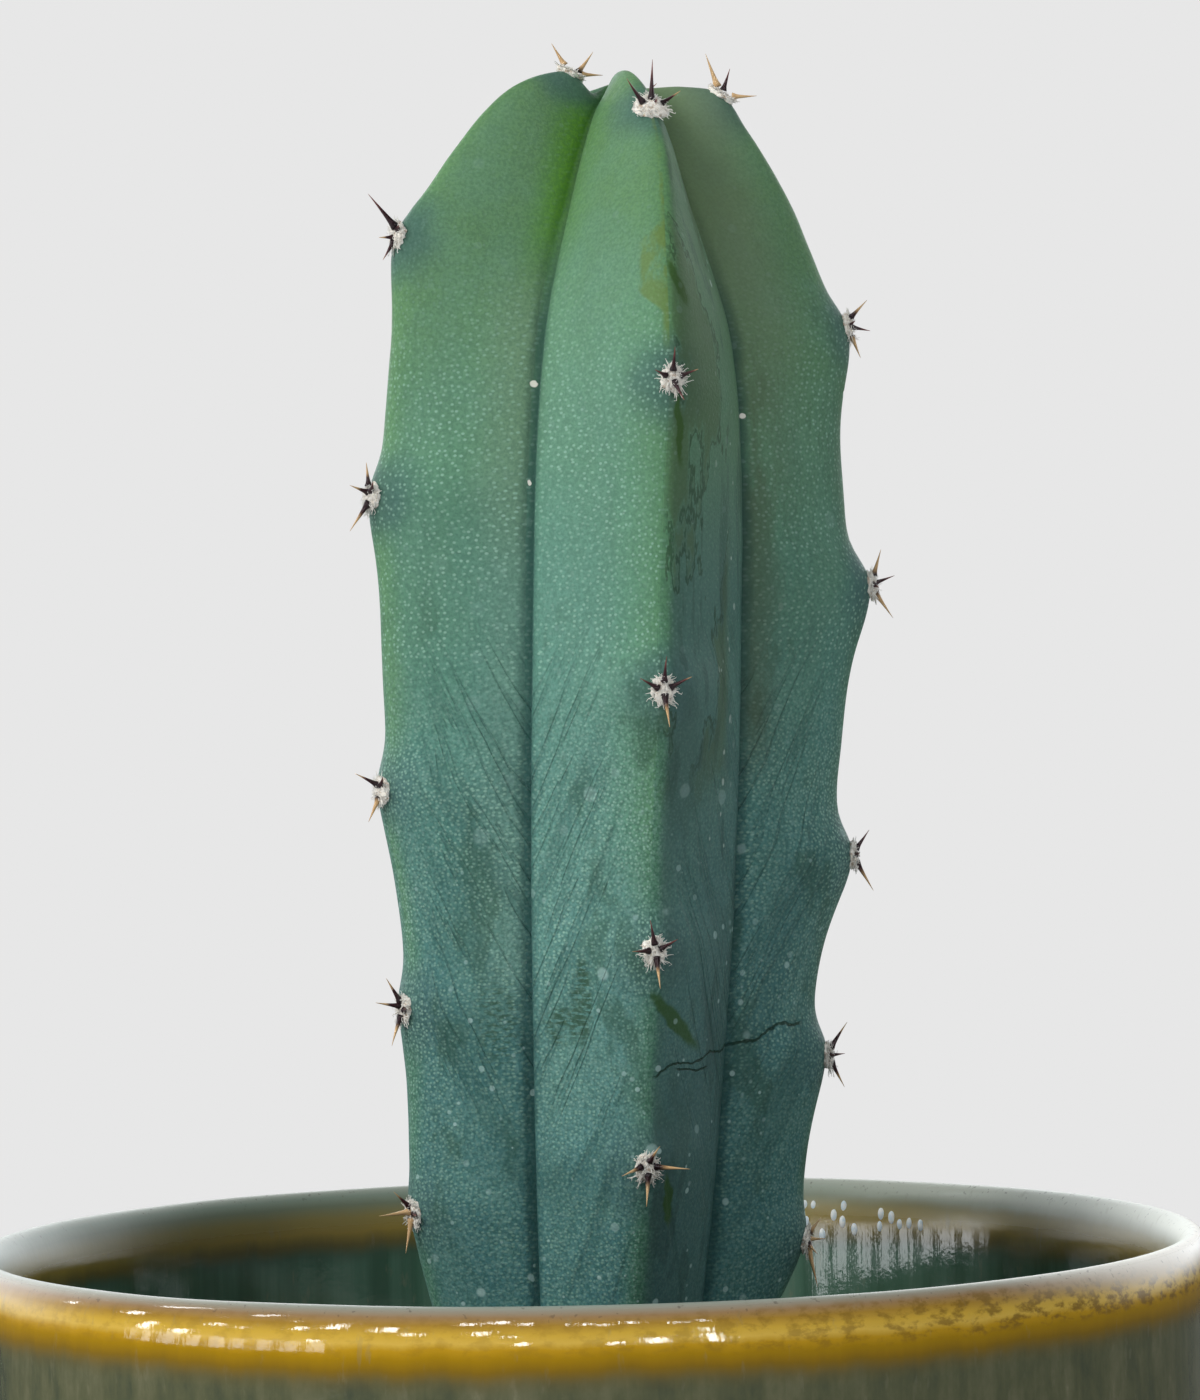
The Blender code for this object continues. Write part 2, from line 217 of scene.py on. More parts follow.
class Material(Graph):
    """A Principled material, with textures that lie in the object's own space."""

    def __init__(self, name, roughness):
        self.material = bpy.data.materials.new(name)
        self.material.use_nodes = True
        super().__init__(self.material.node_tree)
        self.shader = self.tree.nodes["Principled BSDF"]
        self.set("Roughness", roughness)
        self.place = self.node("ShaderNodeTexCoord").outputs["Object"]

    def set(self, name, value):
        self.feed(self.shader.inputs[name], value)

    def attribute(self, name):
        return self.node("ShaderNodeAttribute", attribute_name=name).outputs["Fac"]

    def scaled(self, *scale):
        """The place, stretched by a factor along each axis."""
        made = self.node("ShaderNodeVectorMath", operation="MULTIPLY")
        self.feed(made.inputs[0], self.place)
        made.inputs[1].default_value = scale
        return made.outputs[0]

    def noise(self, scale, detail=2.0, rough=0.5, at=None):
        made = self.node("ShaderNodeTexNoise")
        self.feed(made.inputs["Vector"], self.place if at is None else at)
        self.feed(made.inputs["Scale"], scale)
        self.feed(made.inputs["Detail"], detail)
        self.feed(made.inputs["Roughness"], rough)
        return made.outputs["Fac"]

    def sway(self, reach, scale, detail=2.0, rough=0.5, at=None):
        """Noise that swings to both sides of nought, at most reach from end to end."""
        return self.mul(self.sub(self.noise(scale, detail, rough, at), 0.5), reach)

    def cells(self, scale, at=None, random=1.0, dimensions="3D"):
        """Distance to the nearest scattered point, and the three parts of that point's random colour."""
        made = self.node("ShaderNodeTexVoronoi", voronoi_dimensions=dimensions)
        self.feed(made.inputs["Vector"], self.place if at is None else at)
        self.feed(made.inputs["Scale"], scale)
        self.feed(made.inputs["Randomness"], random)
        return made.outputs["Distance"], self.split(made.outputs["Color"])

    def bump(self, *layers):
        """A normal from layers of (height, depth in metres), the deepest first."""
        normal = None
        for height, depth in layers:
            made = self.node("ShaderNodeBump")
            self.feed(made.inputs["Height"], height)
            self.feed(made.inputs["Distance"], depth)
            if normal is not None:
                self.feed(made.inputs["Normal"], normal)
            normal = made.outputs["Normal"]
        self.set("Normal", normal)


# ================================================================ meshes
def new_piece(name, mesh, material, replaced=()):
    made = bpy.data.objects.new(name, mesh)
    bpy.context.scene.collection.objects.link(made)
    mesh.materials.append(material)
    mesh.shade_smooth()
    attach(made, "root")
    for node in replaced:
        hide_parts(node)
    return made


def mesh_from(name, points, faces):
    mesh = bpy.data.meshes.new(name)
    mesh.from_pydata([tuple(p) for p in points], [], [tuple(f) for f in faces])
    mesh.update()
    return mesh


def lathed(rows, around):
    """Faces over rows of points that each go round, with one point before them and one after."""
    faces = [(0, 1 + i, 1 + (i + 1) % around) for i in range(around)]
    for row in range(rows - 1):
        for i in range(around):
            a, b = 1 + row * around + i, 1 + row * around + (i + 1) % around
            faces.append((a, a + around, b + around, b))
    last = 1 + rows * around
    faces += [(last, last - around + (i + 1) % around, last - around + i) for i in range(around)]
    return faces


def give(mesh, name, values):
    """A value for each point of the mesh, which a material can read."""
    made = mesh.attributes.new(name, "FLOAT", "POINT")
    made.data.foreach_set("value", np.asarray(values, np.float32))


def smooth(value, low, high):
    share = min(max((value - low) / (high - low), 0.0), 1.0)
    return share * share * (3 - 2 * share)


# ================================================================ the stem
SAG_ABOVE = 4.0
SAG_BELOW = 7.8
CREST_ROUND = 2.3
NUB_ROUND = 2.2
NUB_LENGTH = 3.5
FLANK_BULGE = 0.42
CREASE_DEPTH = 1.0
CREASE_WIDTH = 0.05
CREASE_FULL_RADIUS = 12.0
FRONT_MIDDLE_TURN = 1.8
MIDDLE_TURN_START = 60.0
MIDDLE_TURN_END = 100.0
FRONT_TIP_TURN = 6.8
TIP_TURN_START = 104.0
TIP_TURN_END = 137.0
# How worn the two flanks of a rib are, and how full of young green near the tip, with a painted glow of light
# through the flesh.
WEAR = {("front", "right"): 1.0, ("right", "left"): 0.2, ("back_left", "right"): 0.3}
GLOW = {("left", "right"): 1.0, ("front", "left"): 0.25, ("front", "right"): 0.1, ("right", "left"): 0.1}


def through(points, per_span=24):
    """A smooth curve through points (height, radius), centripetal so that it makes no loops."""
    p = np.array(points, float)
    p = np.vstack([2 * p[0] - p[1], p, 2 * p[-1] - p[-2]])
    found = []
    for i in range(1, len(p) - 2):
        a, b, c, d = p[i - 1 : i + 3]
        t1 = np.linalg.norm(b - a) ** 0.5
        t2 = t1 + np.linalg.norm(c - b) ** 0.5
        t3 = t2 + np.linalg.norm(d - c) ** 0.5
        for t in np.linspace(t1, t2, per_span, endpoint=False):
            ab = a + (b - a) * t / t1
            bc = b + (c - b) * (t - t1) / (t2 - t1)
            cd = c + (d - c) * (t - t2) / (t3 - t2)
            abc = ab + (bc - ab) * t / t2
            bcd = bc + (cd - bc) * (t - t1) / (t3 - t1)
            found.append(abc + (bcd - abc) * (t - t1) / (t2 - t1))
    found.append(p[-2])
    return np.array(found)


def crest_curve(rib):
    body = rib.areoles[: len(rib.sags) + 1]
    last = rib.areoles[len(rib.sags) + 1 :]
    curve = through(CREST_FOOT + body + rib.shoulder + last + rib.tip + CREST_END)
    for (low, _), (high, _), sag in zip(body, body[1:], rib.sags):
        above = np.clip(curve[:, 0] - low, 0, None)
        below = np.clip(high - curve[:, 0], 0, None)
        dip = (1 - np.exp(-((above / SAG_ABOVE) ** 2))) * (1 - np.exp(-((below / SAG_BELOW) ** 2)))
        curve[:, 1] -= sag * dip
    return curve


def levels(curve):
    """The curve at the heights of the buried and body levels, then at even steps over the dome."""
    top = int(np.argmax(curve[:, 0] > BODY_TOP))
    soil = (SOIL_TOP - POT_HEIGHT) / MM
    buried = STEM_BASE + (soil - STEM_BASE) * np.linspace(0.06, 1, BURIED_LEVELS, endpoint=False)
    heights = np.concatenate([buried, np.linspace(soil, BODY_TOP, BODY_LEVELS)])
    radii = np.interp(heights, curve[:top, 0], curve[:top, 1])
    dome = curve[top - 1 :]
    run = np.concatenate([[0], np.cumsum(np.linalg.norm(np.diff(dome, axis=0), axis=1))])
    wanted = run[-1] * np.linspace(0, 1, DOME_LEVELS + 1)[1:-1]
    over = np.column_stack([np.interp(wanted, run, dome[:, i]) for i in (0, 1)])
    return np.vstack([np.column_stack([heights, radii]), over])


def turn_at(name, height):
    turn = RIBS[name].turn
    if name == "front":
        turn += FRONT_MIDDLE_TURN * smooth(height, MIDDLE_TURN_START, MIDDLE_TURN_END)
        turn += FRONT_TIP_TURN * smooth(height, TIP_TURN_START, TIP_TURN_END) ** 2
    return turn


def placed(height, outwards, sideways, turn):
    """Millimetres from the stem's leaning middle line, as a point in metres."""
    angle = math.radians(turn)
    x = STEM_CENTRE_X + STEM_LEAN * height + outwards * math.sin(angle) + sideways * math.cos(angle)
    y = sideways * math.sin(angle) - outwards * math.cos(angle)
    return Vector((x * MM, y * MM, POT_HEIGHT + height * MM))


def crest_round(name, height):
    near = min(abs(height - areole[0]) for areole in RIBS[name].areoles)
    return CREST_ROUND + NUB_ROUND * math.exp(-((near / NUB_LENGTH) ** 2))


def swell(point, height, from_groove):
    """Small unevenness of the flesh: soft lumps, and faint folds that climb away from the groove."""
    soft = noise.noise(point * 95.0) * 0.16 + noise.noise(point * 240.0) * 0.05
    climb = (height - 0.95 * from_groove) * 0.30
    fold = noise.noise(Vector((climb, from_groove * 0.05, point.x * 12.0)))
    near = math.exp(-((from_groove / 8.0) ** 2)) * smooth(height, 132.0, 80.0)
    return soft + 0.20 * fold * near


def flank(name, crest, groove, groove_turn):
    """Points from the crest of a rib almost to the groove, with how far across each one is."""
    crest_turn = turn_at(name, crest[0])
    apart = math.radians(groove_turn - crest_turn)
    width = groove[1] * math.sin(apart)
    soft = min(crest_round(name, crest[0]) / abs(width), 0.6)
    deep = CREASE_DEPTH * min(1.0, groove[1] / CREASE_FULL_RADIUS)
    found = []
    for i in range(FLANK_STEPS):
        share = i / FLANK_STEPS
        across = 0.62 * share + 0.38 * (share * share * (3 - 2 * share))
        rounded = (math.hypot(across, soft) - soft) / (math.hypot(1, soft) - soft)
        down = (1 - FLANK_BULGE) * rounded + FLANK_BULGE * across * across
        outwards = crest[1] + (groove[1] * math.cos(apart) - crest[1]) * down
        height = crest[0] + (groove[0] - crest[0]) * down
        outwards -= deep * math.exp(-((1 - across) / CREASE_WIDTH)) * math.cos(apart)
        from_groove = (1 - across) * math.hypot(width, crest[1] - groove[1])
        point = placed(height, outwards, width * across, crest_turn)
        out = Vector((math.sin(math.radians(crest_turn)), -math.cos(math.radians(crest_turn)), 0))
        found.append((point + out * swell(point, height, from_groove) * MM, across, height, from_groove))
    return found


def build_stem():
    order = sorted(RIBS, key=lambda rib: RIBS[rib].turn)
    crests = {rib: levels(crest_curve(RIBS[rib])) for rib in order}
    groove = levels(through(GROOVE))
    areoles = [
        placed(height, radius, 0.0, turn_at(rib, height))
        for rib in order
        for height, radius in RIBS[rib].areoles
    ]
    points, values = [], []
    for level in range(len(groove)):
        for i, rib in enumerate(order):
            here = RIBS[rib].turn
            before = RIBS[order[i - 1]].turn - (360 if i == 0 else 0)
            after = RIBS[order[(i + 1) % 5]].turn + (360 if i == 4 else 0)
            left = flank(rib, crests[rib][level], groove[level], (before + here) / 2)
            right = flank(rib, crests[rib][level], groove[level], (here + after) / 2)
            height, radius = groove[level]
            deep = radius - CREASE_DEPTH * min(1.0, radius / CREASE_FULL_RADIUS)
            row = [(placed(height, deep, 0.0, (before + here) / 2), 1.0, height, 0.0)]
            row += left[:0:-1] + right
            for k, (point, share, up, run) in enumerate(row):
                face = (rib, "left" if k < len(left) else "right")
                points.append(point)
                values.append((share, up, run, WEAR.get(face, 0.1), GLOW.get(face, 0.3), rib == "front"))
    count = len(points) // len(groove)
    faces = []
    for level in range(len(groove) - 1):
        for i in range(count):
            a, b = level * count + i, level * count + (i + 1) % count
            faces.append((a, b, b + count, a + count))
    foot, apex = len(points), len(points) + 1
    for height in (STEM_BASE, STEM_APEX):
        points.append(placed(height, 0.0, 0.0, 0.0))
        values.append((1.0, height, 0.0, 0.1, 0.3, False))
    last = count * (len(groove) - 1)
    for i in range(count):
        j = (i + 1) % count
        faces.append((foot, j, i))
        faces.append((apex, last + i, last + j))
    mesh = mesh_from("stem_skin", points, faces)
    place = np.array(points)
    near = np.min([np.linalg.norm(place - np.array(at), axis=1) for at in areoles], axis=0)
    for name, column in zip(("across", "height_mm", "groove_mm", "worn", "glow", "front"), zip(*values)):
        give(mesh, name, column)
    give(mesh, "areole_mm", near / MM)
    return mesh


# Marks on the skin, in millimetres sideways from the pot's axis and up from its rim. A spot is a middle
# and half-sizes.
# Each wound is also slanted: it moves right by the slope for each millimetre below the pivot height.
WOUNDS = [
    (0.38, 112.0, (12.6, 111.8), (0.55, 2.6)),
    (0.00, 95.0, (12.5, 95.0), (0.45, 4.2)),
    (0.72, 29.5, (8.7, 27.0), (1.0, 3.4)),
    (0.00, 6.2, (9.4, 6.2), (0.40, 3.0)),
]
FRONT_SCUFF = [((0.0, 29.5), (1.1, 5.0)), ((-2.4, 26.4), (1.9, 2.3))]
LEFT_SCUFF = ((-9.8, 27.0), (2.6, 5.0))
LINT = [((-4.1, 100.9), (0.42, 0.40)), ((20.1, 96.9), (0.36, 0.32)), ((-4.8, 89.4), (0.18, 0.34))]
CRACK_SLOPE = 0.27
CRACK = (8.6, 25.4, 18.40, 18.56)
SHORT_CRACK = (11.0, 14.0, 20.80, 20.94)


class Skin(Material):
    """The cactus skin: one colour that coats are laid over, from the ground tone to the last speck."""

    def __init__(self):
        super().__init__("cactus_skin", 0.5)
        self.across = self.attribute("across")
        self.height = self.attribute("height_mm")
        self.groove = self.attribute("groove_mm")
        self.worn = self.attribute("worn")
        self.glow = self.attribute("glow")
        self.front = self.attribute("front")
        self.areole = self.attribute("areole_mm")
        x, y, _ = self.split(self.place)
        self.x = self.mul(x, 1 / MM)
        self.facing = self.math("LESS_THAN", y, 0.0)
        self.ragged = self.sway(1.3, 520.0, detail=3.0)
        self.aside = self.add(self.x, self.ragged)
        # The left rib's right-hand flank and the right rib's left-hand one, told by their glow and wear.
        self.left_face = self.band(self.glow, 0.9, 1.1, 0.1)
        self.right_face = self.band(self.worn, 0.18, 0.22, 0.03)

    def coat(self, colour, strength, *shares):
        self.colour = self.mix(self.mul(strength, *shares), self.colour, colour)


def ground_tone(g):
    """Green at the growing tip, teal in the middle, bluer low down, with a cloudy bloom."""
    drift = g.add(g.height, g.sway(46.0, 38.0, detail=3.0))
    g.colour = g.ramp(
        g.fade(drift, -20.0, 142.0),
        [
            (0.00, (0.070, 0.196, 0.206)),
            (0.25, (0.082, 0.226, 0.226)),
            (0.50, (0.103, 0.266, 0.216)),
            (0.75, (0.128, 0.288, 0.182)),
            (1.00, (0.134, 0.268, 0.112)),
        ],
    )
    g.crest = g.fade(g.add(g.across, g.sway(0.22, 90.0, detail=3.0)), 0.02, 0.26, 1.0, 0.0)
    g.coat((0.100, 0.235, 0.088), 0.50, g.crest)
    cloud = g.fade(g.noise(120.0, detail=5.0, rough=0.62), 0.36, 0.66)
    g.coat((0.160, 0.330, 0.255), 0.26, cloud, g.band(g.across, 0.25, 0.80, 0.2))


def face_tones(g):
    """What only one face of a rib has: young green with a painted glow, dust, a pale bloom brightened with
    painted light, a painted sheen, a painted highlight along one crest and painted shade along another.
    """
    # The young growth's own green, with a painted glow of light shining through the thin flesh that brightens
    # the shade of the groove.
    young_green_and_glow = g.mul(g.fade(g.height, 106.0, 124.0), g.fade(g.groove, 0.2, 3.2, 1.0, 0.0))
    g.coat((0.092, 0.270, 0.006), 0.90, young_green_and_glow, g.glow)
    dust = g.mix(g.fade(g.height, 72.0, 90.0), (0.190, 0.330, 0.270), (0.200, 0.300, 0.205))
    beside = g.fade(g.groove, 1.0, 6.5, 1.0, 0.0)
    g.coat(dust, 0.42, beside, g.left_face, g.band(g.height, 35.0, 108.0, 12.0))
    lit = g.mul(g.front, g.fade(g.worn, 0.6, 0.3))
    # A pale bloom over the front rib's lit flank, brightened further as painted light.
    bloom_and_painted_light = g.mul(g.band(g.across, 0.12, 0.90, 0.15), g.band(g.height, 20.0, 108.0, 14.0))
    g.coat((0.200, 0.410, 0.340), 0.27, lit, bloom_and_painted_light)
    # Painted sheen: a bright green highlight near the crest of the front rib's lit flank.
    painted_sheen = g.mul(g.fade(g.across, 0.55, 0.08), g.band(g.height, 52.0, 104.0, 14.0))
    g.coat((0.140, 0.325, 0.150), 0.48, lit, painted_sheen)
    # Painted rim light: a bright band along the left rib's crest, on its right-hand flank.
    rim = g.mul(g.crest, g.band(g.height, 40.0, 126.0, 12.0))
    g.coat((0.190, 0.380, 0.190), 0.30, rim, g.left_face)
    # Painted shade: darker green along the crest of the right rib's left-hand flank, at the shaded right-hand
    # edge of the stem.
    painted_crest_shade = g.mul(g.fade(g.across, 0.45, 0.05), g.band(g.height, 30.0, 92.0, 16.0))
    g.coat((0.050, 0.130, 0.100), 0.45, painted_crest_shade, g.right_face)
    # Bluish grey round each areole.
    halo = g.fade(g.add(g.areole, g.sway(4.0, 150.0, detail=3.0)), 2.2, 7.6, 1.0, 0.0)
    g.coat((0.062, 0.130, 0.138), 0.70, halo)


def pore_dots(g):
    """Pale pores all over, wide apart high up and closer low down, on a fine dark grain."""
    g.grain = g.noise(2600.0, detail=2.5, rough=0.6)
    deep = g.mul(g.fade(g.grain, 0.62, 0.38), g.fade(g.height, 40.0, 85.0, 0.42, 0.26))
    g.coat((0.018, 0.070, 0.055), 1.0, deep)
    film = g.fade(g.noise(2000.0, detail=1.0), 0.50, 0.64)
    g.coat((0.240, 0.420, 0.370), 0.24, film, g.fade(g.height, 85.0, 45.0))
    sheet = g.join(g.groove, g.height, 0.0)
    wide, kind = g.cells(1.32, sheet, 0.85, "2D")
    wide = g.mul(g.fade(wide, 0.10, 0.30, 1.0, 0.0), g.fade(kind[0], 0.0, 0.6, 0.45, 1.0))
    close, kind = g.cells(2.00, sheet, 0.90, "2D")
    close = g.mul(g.fade(close, 0.12, 0.42, 1.0, 0.0), g.fade(kind[0], 0.0, 0.7, 0.40, 1.0))
    lower = g.fade(g.height, 72.0, 52.0)
    pores = g.add(g.mul(wide, g.sub(1.0, lower)), g.mul(close, lower))
    strength = g.fade(g.noise(110.0, detail=3.0), 0.34, 0.60, 0.55, 1.0)
    middle = g.mul(g.fade(g.height, 119.0, 95.0, 0.12, 1.0), g.fade(g.height, -5.0, 45.0, 0.62, 1.0))
    g.dots = g.mul(pores, strength, middle, g.fade(g.worn, 0.2, 1.0, 1.0, 0.45))
    g.coat((0.320, 0.530, 0.430), 0.68, g.dots)
    # Dark olive clouds low down, which leave the pores paler.
    murk = g.noise(105.0, 4.0, 0.62, g.scaled(1.0, 1.0, 0.55))
    murk = g.mul(g.fade(murk, 0.54, 0.63), g.band(g.height, 8.0, 66.0, 16.0))
    g.coat((0.040, 0.100, 0.062), 0.50, murk, g.sub(1.0, g.mul(pores, 0.5)))


def folds(g):
    """Folds that climb away from the groove: fine dark lines, and a few broad ones."""
    climb = g.sub(g.height, g.mul(g.groove, 2.5))
    at = g.join(g.mul(climb, 0.16), g.mul(g.groove, 0.03), g.mul(g.x, 0.05))
    vein = g.band(g.noise(1.0, 3.0, 0.55, at), 0.540, 0.552, 0.030)
    vein = g.mul(vein, g.band(g.groove, 0.6, 7.5, 4.0), g.band(g.height, 24.0, 62.0, 16.0))
    g.coat((0.022, 0.075, 0.068), 0.22, vein)
    at = g.join(g.mul(climb, 0.05), g.mul(g.groove, 0.02), g.mul(g.x, 0.02))
    fold = g.band(g.noise(1.0, at=at), 0.49, 0.52, 0.05)
    fold = g.mul(fold, g.band(g.groove, 0.8, 8.0, 4.0), g.band(g.height, 4.0, 52.0, 16.0))
    g.coat((0.030, 0.092, 0.084), 0.26, fold)
    g.creases = g.add(vein, g.mul(fold, 1.5))


def worn_flank(g):
    """Slate-coloured worn flank with olive rubbed streaks and chains of pale flecks."""
    tall = g.scaled(1.0, 1.0, 0.22)
    slate = g.fade(g.add(g.across, g.sway(0.12, 220.0, 3.0, at=tall)), 0.02, 0.12)
    slate = g.mul(slate, g.worn, g.fade(g.noise(90.0, 4.0, at=tall), 0.25, 0.55, 0.60, 1.0))
    tone = g.mix(g.fade(g.height, 74.0, 98.0), (0.064, 0.122, 0.116), (0.092, 0.172, 0.098))
    g.coat(tone, 0.64, slate)
    g.blotch = g.noise(130.0, 5.0, 0.62, g.scaled(1.0, 1.0, 0.30))
    zone = g.mul(g.worn, g.band(g.across, 0.05, 0.70, 0.10), g.band(g.height, 62.0, 118.0, 14.0))
    g.coat((0.072, 0.116, 0.050), 0.55, zone, g.fade(g.blotch, 0.50, 0.56))
    g.coat((0.020, 0.040, 0.016), 0.55, zone, g.band(g.blotch, 0.500, 0.512, 0.008))
    streak = g.noise(230.0, 4.0, 0.65, g.scaled(1.0, 1.0, 0.10))
    g.coat((0.030, 0.060, 0.052), 0.35, slate, g.fade(streak, 0.53, 0.60))
    far, kind = g.cells(640.0, g.scaled(1.0, 1.0, 0.7))
    reach = g.add(g.mul(kind[1], 0.18), 0.05)
    fleck = g.mul(g.fade(g.sub(far, reach), -0.03, 0.05, 1.0, 0.0), g.fade(kind[0], 0.45, 0.50))
    chain = g.band(g.add(g.groove, g.sway(7.0, 75.0, detail=3.0)), 2.6, 4.4, 1.4)
    g.coat((0.460, 0.560, 0.510), 0.75, slate, fleck, chain, g.band(g.height, 46.0, 118.0, 6.0))


def rubbed(g):
    """Olive brown beside the right-hand groove, and a yellow olive streak on the front crest near the tip."""
    tint = g.mul(g.fade(g.height, 78.0, 122.0), g.fade(g.groove, 2.0, 9.0, 1.0, 0.0))
    g.coat((0.190, 0.238, 0.135), 0.55, tint, g.right_face)
    brown = g.mul(g.fade(g.groove, 0.8, 5.0, 1.0, 0.0), g.band(g.height, 62.0, 98.0, 12.0))
    g.coat((0.078, 0.094, 0.050), 0.55, brown, g.right_face, g.fade(g.blotch, 0.40, 0.56))
    patchy = g.fade(g.noise(260.0, 4.0, 0.6, g.scaled(1.0, 1.0, 0.5)), 0.40, 0.54)
    width = g.add(g.mul(g.band(g.height, 111.0, 116.5, 3.0), 0.20), 0.05)
    yellow = g.fade(g.sub(g.across, width), 0.0, 0.05, 1.0, 0.0)
    yellow = g.mul(yellow, g.front, g.fade(g.worn, 0.6, 0.3), g.band(g.height, 107.0, 131.0, 4.0))
    g.coat((0.140, 0.200, 0.035), 0.60, yellow, patchy)


def marks(g):
    """Olive wounds, two scuffed patches ruled with level lines, and a crack over two ribs."""
    wound = 0.0
    for slope, pivot, at, reach in WOUNDS:
        slant = g.sub(g.aside, g.mul(g.sub(pivot, g.height), slope))
        wound = g.most(wound, g.spot(slant, g.height, at, reach, 0.3))
    g.coat((0.040, 0.096, 0.020), 0.80, wound, g.fade(g.worn, 0.4, 0.7))

    ladder = g.noise(1.0, at=g.join(g.mul(g.x, 0.8), g.mul(g.height, 2.6), 0.0))
    first, second = (g.spot(g.aside, g.height, at, reach, 0.3) for at, reach in FRONT_SCUFF)
    broken = g.fade(g.noise(420.0, detail=3.0), 0.36, 0.52, 0.3, 1.0)
    scuff = g.mul(g.most(first, second), g.fade(ladder, 0.38, 0.54), broken)
    other = g.spot(g.aside, g.height, *LEFT_SCUFF, 0.6)
    scuff = g.most(scuff, g.mul(other, g.fade(ladder, 0.46, 0.60), 0.8))
    unworn = g.sub(1.0, g.fade(g.worn, 0.12, 0.3))
    g.coat((0.036, 0.082, 0.046), 0.78, scuff, unworn, g.facing)

    wiggle = g.sway(4.0, 190.0, detail=3.0)
    rising = g.add(g.sub(g.height, g.mul(g.x, CRACK_SLOPE)), wiggle)
    low, high, under, over = CRACK
    crack = g.mul(g.band(g.x, low, high, 0.8), g.band(rising, under, over, 0.12))
    low, high, under, over = SHORT_CRACK
    level = g.add(g.height, g.mul(wiggle, 0.5))
    short = g.mul(g.band(g.x, low, high, 0.6), g.band(level, under, over, 0.12))
    g.scratch = g.mul(g.most(crack, short), g.fade(g.worn, 0.12, 0.18))
    g.coat((0.010, 0.030, 0.016), 0.80, g.scratch)


def grooves(g):
    """Each groove is a thin dark line of painted shade, fainter near the tip."""
    line = g.fade(g.add(g.groove, g.sway(0.5, 300.0)), 0.05, 1.15, 1.0, 0.0)
    g.coat((0.016, 0.060, 0.058), 0.72, line, g.fade(g.height, 122.0, 104.0, 0.15, 1.0))


def specks(g):
    """Pale specks of three sizes, mostly low down, and a few chips of lint caught in the grooves."""
    speck = 0.0
    for scale, kept in ((160.0, 0.00), (260.0, 0.00), (400.0, 0.10)):
        far, kind = g.cells(scale)
        reach = g.add(g.mul(kind[1], kind[1], 0.12), 0.035)
        far = g.add(far, g.mul(g.ragged, 0.035))
        one = g.mul(g.fade(g.sub(far, reach), -0.02, 0.03, 1.0, 0.0), g.fade(kind[0], kept, kept + 0.05))
        speck = g.most(speck, g.mul(one, g.fade(kind[2], 0.0, 1.0, 0.40, 1.0)))
    g.coat((0.420, 0.600, 0.580), 0.74, speck, g.fade(g.height, 66.0, 16.0, 0.12, 1.0))
    lint = g.most(*(g.spot(g.aside, g.height, at, reach, 0.15) for at, reach in LINT))
    g.coat((0.860, 0.840, 0.760), 0.95, lint, g.facing, g.fade(g.groove, 1.8, 1.2))


def skin_shader(g):
    g.set("Base Color", g.colour)
    rough = g.add(g.mul(g.noise(420.0, detail=3.0), 0.16), 0.46)
    g.set("Roughness", g.sub(rough, g.mul(g.crest, 0.05)))
    g.set("Specular IOR Level", 0.16)
    g.set("Subsurface Weight", 0.12)
    g.set("Subsurface Radius", (0.4, 1.0, 0.5))
    g.set("Subsurface Scale", 1.2 * MM)
    sunk = g.sub(0.0, g.add(g.creases, g.scratch))
    g.bump((g.grain, 0.075 * MM), (g.dots, 0.03 * MM), (sunk, 0.13 * MM))


def skin_material():
    g = Skin()
    ground_tone(g)
    face_tones(g)
    pore_dots(g)
    folds(g)
    worn_flank(g)
    rubbed(g)
    marks(g)
    grooves(g)
    specks(g)
    skin_shader(g)
    return g.material


# ================================================================ the pot
POT_HAIR = 0.12  # how far the glazed surface stays inside the CAD pot
LIP_SINK = 0.10


def arc(centre, half_width, half_height, start, end, steps):
    found = []
    for i in range(steps):
        angle = math.radians(start + (end - start) * i / steps)
        r = centre[0] + half_width * math.cos(angle)
        z = centre[1] + half_height * math.sin(angle)
        found.append((r, z))
    return found


def line(start, end, steps):
    start, end = np.array(start), np.array(end)
    return [tuple(start + (end - start) * i / steps) for i in range(steps)]


